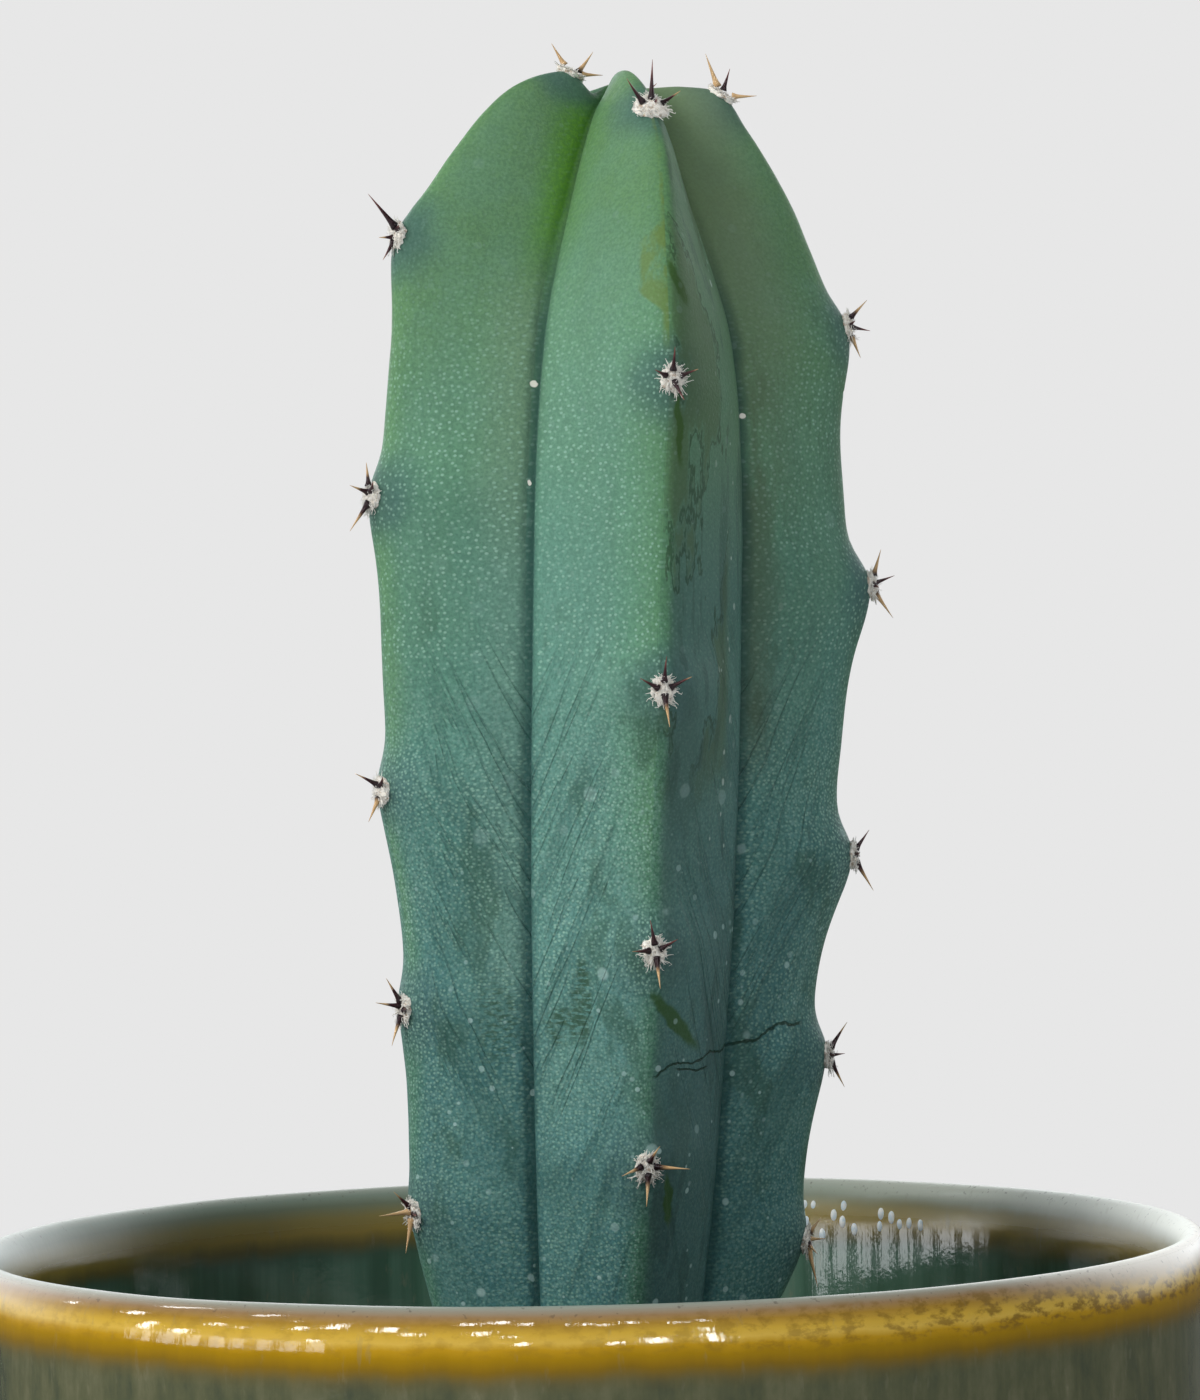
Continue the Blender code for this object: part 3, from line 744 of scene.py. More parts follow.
def build_pot():
    lip = POT_WALL / 2
    inner = POT_RADIUS - POT_WALL
    turn = INSIDE_ROUND
    foot = POT_RADIUS - FOOT_INSET
    low = FOOT_HEIGHT + BOTTOM_ROUND
    shoulder = POT_HEIGHT - LIP_DROP
    profile = line((0.0, POT_FLOOR), (inner - turn, POT_FLOOR), 8)
    profile += arc((inner - turn, POT_FLOOR + turn), turn, turn, -90, 0, 6)
    profile += line((inner, POT_FLOOR + turn), (inner, shoulder), 60)
    profile += arc((POT_RADIUS - lip, shoulder), lip, LIP_DROP, 180, 0, 48)
    profile += line((POT_RADIUS, shoulder), (POT_RADIUS, low), 70)
    profile += arc((POT_RADIUS - BOTTOM_ROUND, low), BOTTOM_ROUND, BOTTOM_ROUND, 0, -90, 10)
    profile += line((POT_RADIUS - BOTTOM_ROUND, FOOT_HEIGHT), (foot + FOOT_SLOPE, FOOT_HEIGHT), 2)
    profile += line((foot + FOOT_SLOPE, FOOT_HEIGHT), (foot, 0.0), 3)
    profile += line((foot, 0.0), (foot - FOOT_WIDTH, 0.0), 4)
    profile += line((foot - FOOT_WIDTH, 0.0), (foot - FOOT_WIDTH - FOOT_SLOPE, FOOT_HEIGHT), 3)
    profile += line((foot - FOOT_WIDTH - FOOT_SLOPE, FOOT_HEIGHT), (0.0, FOOT_HEIGHT), 8)
    points = [Vector((0, 0, POT_FLOOR))]
    rows = profile[1:]
    for r, z in rows:
        for i in range(POT_TURN_STEPS):
            angle = 2 * math.pi * i / POT_TURN_STEPS
            way = Vector((math.cos(angle), math.sin(angle), 0))
            wave = noise.noise(Vector((way.x * 2.0, way.y * 2.0, z * 60.0))) * 0.10
            wave += noise.noise(Vector((way.x * 9.0, way.y * 9.0, z * 130.0))) * 0.035
            wave *= smooth(z, 0.002, 0.010)
            sink = smooth(z, shoulder, POT_HEIGHT) * LIP_SINK * (1 + noise.noise(way * 3.5))
            points.append(way * (r + (wave - POT_HAIR) * MM) + Vector((0, 0, z - sink * MM)))
    points.append(Vector((0, 0, FOOT_HEIGHT)))
    mesh = mesh_from("pot_glazed", points, lathed(len(rows), POT_TURN_STEPS))
    bm = bmesh.new()
    bm.from_mesh(mesh)
    bmesh.ops.recalc_face_normals(bm, faces=bm.faces)
    bm.to_mesh(mesh)
    bm.free()
    return mesh


AMBER_DEPTH = 12.0  # how far below the rim, in millimetres, the bands of colour end


def outer_glaze(g, x, level, streak):
    """A pale edge where the glaze breaks over the lip, mauve brown, bright amber, and running olive green."""
    out = g.ramp(
        g.math("DIVIDE", level, AMBER_DEPTH),
        [
            (0.000, (0.310, 0.355, 0.310)),
            (0.040, (0.290, 0.265, 0.205)),
            (0.090, (0.300, 0.190, 0.090)),
            (0.155, (0.370, 0.215, 0.030)),
            (0.235, (0.580, 0.370, 0.045)),
            (0.300, (0.640, 0.420, 0.070)),
            (0.360, (0.480, 0.275, 0.010)),
            (0.440, (0.350, 0.200, 0.003)),
            (0.550, (0.220, 0.130, 0.008)),
            (0.680, (0.140, 0.105, 0.030)),
        ],
    )
    cloudy = g.noise(330.0, 5.0, 0.65, g.scaled(1.0, 1.0, 0.5))
    green = g.ramp(
        g.add(g.mul(streak, 0.62), g.mul(cloudy, 0.50), -0.06),
        [
            (0.30, (0.050, 0.064, 0.042)),
            (0.48, (0.098, 0.105, 0.056)),
            (0.60, (0.136, 0.137, 0.078)),
            (0.74, (0.260, 0.250, 0.170)),
        ],
    )
    # Greyer towards the right-hand edge: a painted reflection of the bright background at the grazing edge.
    green = g.mix(g.fade(x, 0.066, 0.0746, 0.0, 0.55), green, (0.240, 0.260, 0.220))
    mottle = g.fade(g.noise(520.0, 4.0, 0.6, g.scaled(1.0, 1.0, 1.8)), 0.44, 0.64)
    right = g.fade(x, -0.01, 0.06, 0.25, 1.0)
    out = g.mix(g.mul(mottle, right, g.band(level, 1.4, 4.6, 1.0), 0.85), out, (0.180, 0.100, 0.014))
    out = g.mix(g.fade(level, 6.2, 9.4), out, green)
    # A pale lip towards the right: partly wear, partly a painted reflection.
    worn = g.mul(g.fade(x, 0.040, 0.073), g.fade(level, 3.6, 0.6))
    return g.mix(g.mul(worn, 0.92), out, (0.860, 0.800, 0.700))


def inner_glaze(g, x, level, streak):
    """The same glaze, with a duller amber and a darker, bluer green."""
    inside = g.ramp(
        g.math("DIVIDE", level, AMBER_DEPTH),
        [
            (0.000, (0.345, 0.375, 0.325)),
            (0.080, (0.200, 0.255, 0.205)),
            (0.170, (0.150, 0.180, 0.120)),
            (0.300, (0.230, 0.190, 0.060)),
            (0.450, (0.260, 0.190, 0.040)),
            (0.580, (0.120, 0.105, 0.035)),
            (0.720, (0.050, 0.085, 0.055)),
        ],
    )
    deep = g.ramp(
        streak,
        [(0.32, (0.036, 0.092, 0.058)), (0.52, (0.066, 0.145, 0.100)), (0.72, (0.110, 0.190, 0.140))],
    )
    inside = g.mix(g.fade(level, 7.0, 10.0), inside, deep)
    # Paler inside the lip towards the right: a painted reflection.
    pale = g.mul(g.fade(x, 0.015, 0.060), g.fade(level, 3.4, 0.8))
    return g.mix(g.mul(pale, 0.90), inside, (0.760, 0.790, 0.690))


def glaze_material():
    g = Material("reactive_glaze", 0.1)
    x, y, z = g.split(g.place)
    drop = g.mul(g.sub(POT_HEIGHT, z), 1 / MM)
    radius = g.mul(g.math("SQRT", g.add(g.mul(x, x), g.mul(y, y))), 1 / MM)
    outside = g.fade(radius, 71.9, 72.7)
    wobble = g.sway(2.0, 26.0, 5.0, 0.6)
    run = g.sway(1.5, 230.0, 4.0, 0.6, g.scaled(1.0, 1.0, 0.20))
    level = g.add(drop, g.mul(g.add(wobble, run), g.fade(drop, 0.5, 6.0)))
    streak = g.noise(170.0, 5.0, 0.62, g.scaled(1.0, 1.0, 0.035))
    fleck = g.noise(700.0, 3.0, 0.6, g.scaled(1.0, 1.0, 0.3))
    colour = g.mix(outside, inner_glaze(g, x, level, streak), outer_glaze(g, x, level, streak))

    # Pale threads where a drop has run down, darker specks, dirt on the lip, and the unglazed foot.
    thread, _ = g.cells(52.0, g.scaled(1.0, 1.0, 0.06))
    thread = g.mul(g.fade(thread, 0.025, 0.012), g.band(level, 6.5, 11.0, 2.0))
    colour = g.mix(g.mul(thread, 0.60), colour, (0.420, 0.400, 0.300))
    colour = g.mix(g.mul(g.fade(fleck, 0.60, 0.72), 0.22), colour, (0.210, 0.200, 0.130))
    dirt = g.mul(g.fade(g.noise(1500.0), 0.64, 0.72), g.fade(drop, 2.5, 0.3))
    colour = g.mix(g.mul(dirt, 0.50), colour, (0.060, 0.045, 0.035))
    clay = g.mix(g.noise(600.0, detail=4.0), (0.330, 0.250, 0.170), (0.440, 0.350, 0.250))
    bare = g.fade(g.mul(z, 1 / MM), 1.9, 2.4, 1.0, 0.0)
    g.set("Base Color", g.mix(bare, colour, clay))

    rim = g.fade(level, 1.1, 0.2)
    blurred = g.mul(g.sub(1.0, outside), g.fade(drop, 6.5, 4.0))
    rough = g.add(g.mul(fleck, 0.06), 0.035, g.mul(g.most(rim, blurred), 0.25))
    g.set("Roughness", g.add(rough, g.mul(bare, 0.60)))
    g.set("Specular IOR Level", 0.60)
    # The glaze is thicker down the inside wall, so its face there leans back a little.
    leaning = g.mul(drop, g.sub(1.0, outside), 0.115)
    ripple = g.noise(60.0, at=g.scaled(1.0, 1.0, 0.6))
    g.bump((leaning, 1.0 * MM), (ripple, 0.10 * MM), (streak, 0.05 * MM), (g.noise(1300.0), 0.008 * MM))
    return g.material


# Sideways place and drop below the rim, in millimetres, of pale beads on the far inside wall: white blobs
# that stand in for painted highlights on the glaze.
HIGHLIGHT_BEADS = [
    (28.7, 3.5), (29.8, 3.5), (28.9, 5.5), (30.9, 7.2), (32.4, 4.7), (33.7, 3.5), (33.5, 5.5), (35.0, 6.4),
    (38.4, 4.3), (38.2, 5.9), (39.7, 4.7), (40.7, 5.5), (41.9, 5.3), (43.3, 5.5),
]
HIGHLIGHT_BEAD_SIZE = (0.44, 0.26, 0.78)


def highlight_beads_mesh(draw):
    wall = POT_RADIUS - POT_WALL
    points, faces = [], []
    for sideways, drop in HIGHLIGHT_BEADS:
        base, ring = pebble(draw, 3, 0.05)
        x = sideways * MM
        # Above the straight wall the inside of the lip curves outwards.
        rise = max(0.0, LIP_DROP - drop * MM) / LIP_DROP
        r = wall + POT_WALL / 2 * (1 - math.sqrt(1 - rise * rise))
        angle = math.asin(x / r)
        centre = np.array([x, r * math.cos(angle), POT_HEIGHT - drop * MM])
        spin = np.array(Matrix.Rotation(-angle, 3, "Z"))
        size = np.array(HIGHLIGHT_BEAD_SIZE) * MM * draw.uniform(0.85, 1.15)
        faces += [tuple(len(points) + k for k in face) for face in ring]
        points += list((base * size) @ spin.T + centre)
    return mesh_from("painted_highlight_beads", points, faces)


def highlight_bead_material():
    g = Material("painted_highlight_bead", 0.08)
    grain = g.noise(1500.0)
    # Near-white colour: the beads are painted highlights.
    g.set("Base Color", g.mix(g.fade(grain, 0.35, 0.65), (0.700, 0.820, 0.900), (0.940, 0.960, 0.950)))
    g.set("Roughness", g.add(g.mul(grain, 0.10), 0.04))
    g.bump((grain, 0.02 * MM))
    return g.material


# ================================================================ the potting mix
SOIL_RADIUS = POT_RADIUS - POT_WALL - 0.5 * MM
SOIL_FLOOR = POT_FLOOR + 0.6 * MM
SOIL_RINGS = 90
SOIL_AROUND = 240
STEM_CLEAR = 15.0 * MM


def ground(x, y):
    """The height of the mix, in metres, before its grains are laid on it."""
    at = Vector((x, y, 0.0))
    lump = noise.noise(at * 60.0) * 0.9 + noise.noise(at * 190.0) * 0.45 + noise.noise(at * 520.0) * 0.22
    return SOIL_TOP + (lump - 0.4) * MM


def build_soil():
    rows = [(SOIL_RADIUS * ring / SOIL_RINGS, None) for ring in range(1, SOIL_RINGS + 1)]
    rows += [
        (SOIL_RADIUS, SOIL_TOP - 4 * MM),
        (SOIL_RADIUS, SOIL_FLOOR + 5 * MM),
        (SOIL_RADIUS - 5 * MM, SOIL_FLOOR),
    ]
    points = [Vector((0, 0, ground(0, 0)))]
    for r, z in rows:
        for i in range(SOIL_AROUND):
            angle = 2 * math.pi * i / SOIL_AROUND
            x, y = r * math.cos(angle), r * math.sin(angle)
            points.append(Vector((x, y, ground(x, y) if z is None else z)))
    points.append(Vector((0, 0, SOIL_FLOOR)))
    return mesh_from("soil_bed", points, lathed(len(rows), SOIL_AROUND))


def pebble(draw, detail, ragged):
    bm = bmesh.new()
    bmesh.ops.create_icosphere(bm, subdivisions=detail, radius=1.0)
    shift = Vector((draw.uniform(-9, 9), draw.uniform(-9, 9), draw.uniform(-9, 9)))
    for vertex in bm.verts:
        dent = noise.noise(vertex.co * 1.4 + shift) + 0.4 * noise.noise(vertex.co * 3.3)
        vertex.co *= 1 + ragged * dent
    points = np.array([v.co[:] for v in bm.verts])
    bm.faces.ensure_lookup_table()
    faces = np.array([[v.index for v in f.verts] for f in bm.faces])
    bm.free()
    return points, faces


def scatter(name, grain, draw):
    """Many grains in one mesh, laid on the mix at random and kept off the stem and the wall."""
    kinds = [pebble(draw, 2, grain.ragged) for _ in range(6)]
    smallest, largest = [size * MM for size in grain.sizes]
    points, faces, tints, start = [], [], [], 0
    while len(points) < grain.count:
        r = math.sqrt(draw.random()) * (SOIL_RADIUS - largest)
        angle = draw.uniform(0, 2 * math.pi)
        x, y = r * math.cos(angle), r * math.sin(angle)
        if math.hypot(x - STEM_CENTRE_X * MM, y) < STEM_CLEAR + largest * 0.5:
            continue
        size = smallest + (largest - smallest) * draw.random() ** 2.2
        spin = Matrix.Rotation(draw.uniform(0, 6.3), 3, "Z")
        tilt = Matrix.Rotation(draw.gauss(0, 0.5), 3, "X") @ Matrix.Rotation(draw.gauss(0, 0.5), 3, "Y")
        frame3 = np.array(tilt @ spin @ Matrix.Diagonal(Vector(grain.shape) * size))
        base, ring = kinds[draw.randrange(len(kinds))]
        centre = np.array([x, y, ground(x, y) + size * grain.shape[2] * grain.sits])
        points.append(base @ frame3.T + centre)
        faces.append(ring + start)
        tints += [draw.random()] * len(base)
        start += len(base)
    mesh = mesh_from(name, np.concatenate(points), np.concatenate(faces))
    give(mesh, "tint", tints)
    return mesh


def crumb_material(name, dark, light, rough, scale):
    g = Material(name, rough)
    tint = g.attribute("tint")
    grain = g.noise(scale, detail=5.0, rough=0.65)
    base = g.mix(tint, dark, light)
    g.set("Base Color", g.mix(g.fade(grain, 0.30, 0.70), g.mix(0.55, base, (0.008, 0.006, 0.005)), base))
    g.set("Roughness", g.add(g.mul(grain, 0.08), rough))
    g.bump((grain, 0.25 * MM))
    return g.material


# ================================================================ areoles
WOOL_WIDTH = 1.35
WOOL_HEIGHT = 1.60
WOOL_RISE = 0.66
NUB_CURVE = 0.115
STRANDS = 170
STRAND_BENDS = 4
STRAND_RADIUS = 0.066
# In millimetres: where a spine starts above the crest, its radius, and the swelling at its base.
SPINE_START = 0.46
SPINE_STOUT = 0.23
SPINE_STOUTER = 0.030  # for each millimetre of length
SPINE_TIP = 0.02
SPINE_BASE = 0.13
SPINE_BASE_REACH = 0.13  # as a share of the length


def areole_frame(name, place):
    curve = crest_curve(RIBS[name])
    height, radius = place
    at = int(np.argmin(np.hypot(curve[:, 0] - height, curve[:, 1] - radius)))
    along = curve[min(at + 6, len(curve) - 1)] - curve[at - 6]
    along = along / np.linalg.norm(along)
    turn = turn_at(name, height)
    angle = math.radians(turn)
    out = Vector((math.sin(angle), -math.cos(angle), 0.0))
    up = (out * along[1] + Vector((0, 0, along[0]))).normalized()
    side = Vector((math.cos(angle), math.sin(angle), 0.0))
    frame4 = Matrix((side, up, side.cross(up).normalized())).transposed().to_4x4()
    frame4.translation = placed(curve[at][0], curve[at][1], 0.0, turn)
    return frame4


def tube(points, radii, sides):
    """Points and faces of a round tapering tube along a path, closed at both ends."""
    found, faces = [], []
    for i, (at, radius) in enumerate(zip(points, radii)):
        ahead = points[min(i + 1, len(points) - 1)] - points[max(i - 1, 0)]
        turn = Vector((0, 0, 1)).rotation_difference(ahead.normalized()).to_matrix()
        for k in range(sides):
            angle = 2 * math.pi * k / sides
            found.append(at + turn @ Vector((radius * math.cos(angle), radius * math.sin(angle), 0)))
    for i in range(len(points) - 1):
        for k in range(sides):
            a, b = i * sides + k, i * sides + (k + 1) % sides
            faces.append((a, b, b + sides, a + sides))
    faces.append(tuple(range(sides - 1, -1, -1)))
    faces.append(tuple(range(len(found) - sides, len(found))))
    return found, faces


def wool_mesh(name, frame4, size, draw):
    """A felted mound on the nub, with short curly strands standing out of it all round."""
    wide, high, rise = WOOL_WIDTH * size[0], WOOL_HEIGHT * size[1], WOOL_RISE * size[2]
    shift = Vector((draw.uniform(-9, 9), draw.uniform(-9, 9), draw.uniform(-9, 9)))
    bm = bmesh.new()
    bmesh.ops.create_icosphere(bm, subdivisions=4, radius=1.0)
    points = []
    for vertex in bm.verts:
        p = vertex.co.copy()
        lump = 0.22 * noise.noise(p * 1.9 + shift) + 0.20 * noise.noise(p * 4.6 + shift)
        p *= 1 + lump + 0.10 * noise.noise(p * 11.0 + shift)
        side, up = p.x * wide, p.y * high
        points.append(Vector((side, up, p.z * (rise if p.z > 0 else 0.7) - NUB_CURVE * side * side)))
    bm.faces.ensure_lookup_table()
    faces = [tuple(v.index for v in f.verts) for f in bm.faces]
    bm.free()
    tints = [0.0] * len(points)
    for _ in range(STRANDS):
        angle = draw.uniform(0, 2 * math.pi)
        lean = draw.uniform(0.70, 1.0) if draw.random() < 0.62 else draw.uniform(0.1, 0.7)
        root = Vector((math.cos(angle) * lean, math.sin(angle) * lean, math.sqrt(1.0 - 0.9 * lean * lean)))
        start = Vector((root.x * wide * 0.92, root.y * high * 0.92, root.z * rise * 0.90))
        start.z -= NUB_CURVE * start.x * start.x
        way = Vector((root.x + draw.gauss(0, 0.6), root.y + draw.gauss(0, 0.6) - 0.15, 0.05 + 0.10 * root.z))
        way.normalize()
        bend = Vector((draw.gauss(0, 1), draw.gauss(0, 1), draw.gauss(0, 0.5))) * 0.45
        length = draw.uniform(0.40, 1.00) * (1.25 if root.y < -0.4 else 0.95) * (0.55 + 0.45 * size[2])
        path = []
        for i in range(STRAND_BENDS + 1):
            t = i / STRAND_BENDS
            path.append(start + way * (length * t) + bend * (math.sin(t * 2.8) * length * t))
        radii = [STRAND_RADIUS * (1 - 0.62 * i / STRAND_BENDS) for i in range(STRAND_BENDS + 1)]
        found, rings = tube(path, radii, 4)
        base = len(points)
        points += found
        faces += [tuple(base + k for k in ring) for ring in rings]
        tints += [draw.uniform(0.55, 1.0)] * len(found)
    mesh = mesh_from(name, [frame4 @ (p * MM) for p in points], faces)
    give(mesh, "tint", tints)
    return mesh


# Each spine: the sideways, upwards and outwards parts of its direction, its length in millimetres,
# where its base is sideways and upwards of the middle, and how much of it is tan from the tip down.
USUAL_SPINES = [
    (0.02, 0.95, 0.35, 3, 0, 0.8, 0.15), (-0.88, 0.38, 0.35, 2.7, -0.75, 0.2, 0.15),
    (0.88, 0.42, 0.35, 2.9, 0.8, 0.15, 0.2), (0.05, -0.93, 0.4, 4, 0.05, -0.6, 0.5),
]
SPINES = {
    "front_5": [
        (-0.02, 0.66, 0.75, 4.9, 0, 0.5, 0.1), (-0.62, 0.54, 0.58, 3.7, -1.05, 0.2, 0.1),
        (0.88, 0.33, 0.35, 2.9, 1.1, 0.1, 0.3), (0.1, -0.2, 0.95, 0.9, 0.2, -0.1, 0),
    ],
    "front_4": [
        (0, 0.97, 0.3, 2.8, -0.05, 0.95, 0.05), (-0.85, 0.34, 0.45, 1.9, -0.9, 0.35, 0.05),
        (0.85, 0.38, 0.4, 2.2, 0.85, 0.3, 0.2), (0.15, -0.72, 0.68, 2.9, 0.1, -0.35, 0.1),
    ],
    "front_3": [
        (0, 0.97, 0.25, 3, 0.05, 0.85, 0.05), (-0.85, 0.44, 0.3, 2.7, -0.7, 0.2, 0.05),
        (0.83, 0.48, 0.3, 2.8, 0.75, 0.2, 0.25), (0.05, -0.92, 0.4, 4.2, 0.05, -0.6, 0.55),
    ],
    "front_2": [
        (-0.18, 0.94, 0.3, 3, -0.1, 0.8, 0.05), (-0.88, -0.02, 0.45, 2.5, -0.75, 0.05, 0.2),
        (0.8, 0.48, 0.4, 2.4, 0.55, 0.2, 0.05), (0.04, -0.94, 0.35, 3.9, 0.1, -0.7, 0.55),
    ],
    "front_1": [
        (0.42, 0.85, 0.35, 2.5, 0.15, 0.7, 0.5), (-0.9, -0.25, 0.35, 2.9, -0.75, 0.15, 0.6),
        (0.97, -0.06, 0.25, 4.2, 0.7, 0.1, 0.65), (-0.12, -0.93, 0.35, 3.9, 0, -0.65, 0.6),
    ],
    "left_6": [
        (-0.25, -0.78, 0.58, 3, 0, -1.2, 0.95), (0, 0.38, 0.92, 3.4, 0.1, 0.75, 0.75),
        (0.2, 0.9, 0.38, 2.7, 0.1, 1.3, 1),
    ],
    "left_5": [
        (0.05, 0.6, 0.8, 5.4, 0.2, 0.85, 0.1), (0, -0.2, 0.95, 2, 0, -0.3, 0.4),
        (0.05, -0.9, 0.4, 2.7, 0.05, -0.8, 0.2), (0.85, 0.2, 0.4, 1.5, 0.7, 0.6, 0.05),
    ],
    "left_4": [
        (0, 0.99, 0.12, 2.7, 0, 1.2, 0.5), (0, 0.24, 0.95, 2.6, 0, 0.45, 0.45),
        (0.82, 0.45, 0.35, 2.2, 0.65, 0.6, 0), (0, -0.8, 0.58, 4.3, 0.1, -0.75, 0.5),
    ],
    "left_3": [
        (0, 0.5, 0.85, 3.2, 0, 0.6, 0.35), (0.8, 0.55, 0.3, 2.2, 0.6, 0.55, 0),
        (0, -0.88, 0.46, 3.4, 0, -0.8, 0.75),
    ],
    "left_2": [
        (0, 0.86, 0.5, 3.4, 0, 0.85, 0.4), (0, 0.2, 0.96, 3.3, 0, 0.35, 0.45),
        (0.88, 0.1, 0.4, 1.7, 0.8, -0.1, 0), (0, -0.89, 0.44, 3.9, 0, -0.8, 0.6),
    ],
    "left_1": [
        (0, 0.74, 0.66, 2.8, 0.1, 0.75, 0.35), (0, 0.02, 0.99, 4.2, 0, 0.2, 1),
        (0.88, 0.1, 0.4, 1.7, 0.8, -0.1, 0), (0.1, -0.92, 0.35, 4, 0.1, -0.7, 1),
    ],
    "right_6": [
        (0, 0.8, 0.6, 4.6, 0, 0.9, 1), (0, 0.21, 0.97, 2.7, 0, 0.1, 0.05),
        (0, -0.85, 0.52, 3, 0, -1.2, 1),
    ],
    "right_5": [
        (0, 0.65, 0.76, 3, 0, 1, 0.6), (0, -0.3, 0.95, 2.4, 0, 0, 0),
        (-0.85, 0.3, 0.4, 1.6, -0.7, 0.1, 0), (0, -0.97, 0.24, 2.8, 0, -1.1, 0.85),
    ],
    "right_4": [
        (0, 0.92, 0.38, 3.1, 0, 1.1, 0.7), (0, 0.24, 0.97, 2.5, 0, 0.2, 0),
        (-0.85, -0.2, 0.4, 1.5, -0.7, 0, 0), (0, -0.88, 0.46, 3.6, 0, -0.9, 0.75),
    ],
    "right_3": [
        (0, 0.78, 0.6, 2.7, 0, 0.75, 0.1), (-0.85, 0.15, 0.4, 1.5, -0.7, 0.1, 0),
        (0, -0.85, 0.52, 4, 0, -0.8, 0.6),
    ],
    "right_2": [
        (0, 0.82, 0.56, 3.7, 0, 0.85, 0.35), (-0.2, 0.1, 0.97, 1.7, 0, 0, 0.1),
        (-0.85, 0.1, 0.4, 1.5, -0.7, 0, 0), (0, -0.91, 0.4, 3.3, 0, -0.8, 0.45),
    ],
    "right_1": [
        (0.1, 0.85, 0.5, 2.4, 0, 0.85, 0.7), (0, 0.05, 0.97, 2, 0, 0.2, 0.8),
        (-0.6, -0.5, 0.6, 2.1, -0.5, -0.3, 0.6), (0, -0.95, 0.32, 4.9, 0, -0.7, 1),
    ],
}
# Width, height and rise of the wool where it isn't the usual size.
WOOL_SIZES = {"front_5": (1.55, 1.20, 1.10), "left_6": (0.90, 1.10, 0.42), "right_6": (0.90, 1.10, 0.42)}


def spines_mesh(name, frame4, spines, draw):
    steps, sides = 12, 10
    points, faces, along, tans = [], [], [], []
    for side, up, out, length, from_side, from_up, tan in spines:
        way = Vector((side + draw.gauss(0, 0.03), up + draw.gauss(0, 0.03), out)).normalized()
        start = Vector((from_side, from_up, SPINE_START))
        start.z -= NUB_CURVE * start.x * start.x
        sag = Vector((draw.gauss(0, 0.10), draw.gauss(0, 0.10), draw.gauss(0, 0.08)))
        path, radii = [], []
        stout = SPINE_STOUT + SPINE_STOUTER * length
        for i in range(steps + 1):
            t = i / steps
            path.append(start + way * (length * t) + sag * (length * 0.25 * t * t))
            swollen = SPINE_BASE * math.exp(-((t / SPINE_BASE_REACH) ** 2))
            radii.append(0.03 + stout * (1 - t) ** 1.3 + swollen)
        radii[-1] = SPINE_TIP
        found, rings = tube(path, radii, sides)
        base = len(points)
        points += found
        faces += [tuple(base + k for k in ring) for ring in rings]
        along += [i / steps for i in range(steps + 1) for _ in range(sides)]
        tans += [tan] * len(found)
    mesh = mesh_from(name, [frame4 @ (p * MM) for p in points], faces)
    give(mesh, "along", along)
    give(mesh, "tan", tans)
    return mesh


def wool_material():
    g = Material("areole_felt", 0.9)
    grey = g.noise(1700.0, 4.0, 0.7)
    felt = g.mix(g.fade(grey, 0.36, 0.52), (0.560, 0.440, 0.340), (1.000, 0.955, 0.870))
    g.set("Base Color", g.mix(g.attribute("tint"), felt, (1.000, 0.975, 0.910)))
    g.set("Sheen Weight", 0.80)
    g.set("Sheen Roughness", 0.35)
    g.set("Subsurface Weight", 0.25)
    g.set("Subsurface Radius", (1.0, 0.9, 0.8))
    g.set("Subsurface Scale", 0.8 * MM)
    g.bump((grey, 0.12 * MM))
    return g.material


def spine_material():
    """Dark red brown at the base, tan from the tip down as far as the spine's own share says."""
    g = Material("spine_horn", 0.35)
    tan = g.attribute("tan")
    along = g.add(g.attribute("along"), g.sway(0.25, 900.0))
    dark = g.ramp(
        along,
        [(0.00, (0.010, 0.004, 0.006)), (0.50, (0.040, 0.008, 0.012)), (0.85, (0.210, 0.060, 0.050))],
    )
    amber = g.mix(g.noise(700.0), (0.500, 0.290, 0.120), (0.700, 0.490, 0.270))
    low = g.sub(0.95, g.mul(tan, 1.25))
    share = g.fade(along, low, g.add(low, 0.30))
    g.set("Base Color", g.mix(g.mul(share, g.fade(tan, 0.0, 0.3)), dark, amber))
    g.set("Specular IOR Level", 0.5)
    g.bump((g.noise(2600.0, at=g.scaled(1.0, 1.0, 0.4)), 0.02 * MM))
    return g.material


# ================================================================ stage
FLOOR_SIDE = 1.24
LIGHTS_AIM = Vector((0, 0, 0.20))
# Each light: its place, size, power and colour.
LIGHTS = {
    "key": ((-1.5, -1.0, 1.3), (1.1, 1.1), 36.0, (1.0, 0.98, 0.95)),
    "fill": ((1.3, -1.2, 0.8), (0.9, 0.9), 5.0, (0.95, 0.98, 1.0)),
}
CAMERA_LENS = 139.7
CAMERA_BACK = 0.65
CAMERA_ABOVE_RIM = 0.0678
CAMERA_TURN = -0.2546
CAMERA_TILT = 89.656
CAMERA_ROLL = -1.21


def build_stage():
    """A pale floor, short enough that the pot hides all of it from the main view."""
    half = FLOOR_SIDE / 2
    corners = [(-half, -half, 0), (half, -half, 0), (half, half, 0), (-half, half, 0)]
    mesh = mesh_from("floor", corners, [(0, 1, 2, 3)])
    floor = bpy.data.objects.new("floor", mesh)
    bpy.context.scene.collection.objects.link(floor)
    g = Material("pale_floor", 0.85)
    g.set("Base Color", g.mix(g.noise(3.0), (0.70, 0.70, 0.70), (0.76, 0.76, 0.755)))
    g.bump((g.noise(400.0, detail=3.0), 0.1 * MM))
    mesh.materials.append(g.material)


def area_light(name, place, size, power, colour):
    data = bpy.data.lights.new(name, "AREA")
    data.shape = "RECTANGLE"
    data.size, data.size_y = size
    data.energy = power
    data.color = colour
    made = bpy.data.objects.new(name, data)
    bpy.context.scene.collection.objects.link(made)
    way = LIGHTS_AIM - Vector(place)
    made.matrix_world = Matrix.Translation(place) @ way.to_track_quat("-Z", "Y").to_matrix().to_4x4()
    made.visible_glossy = False


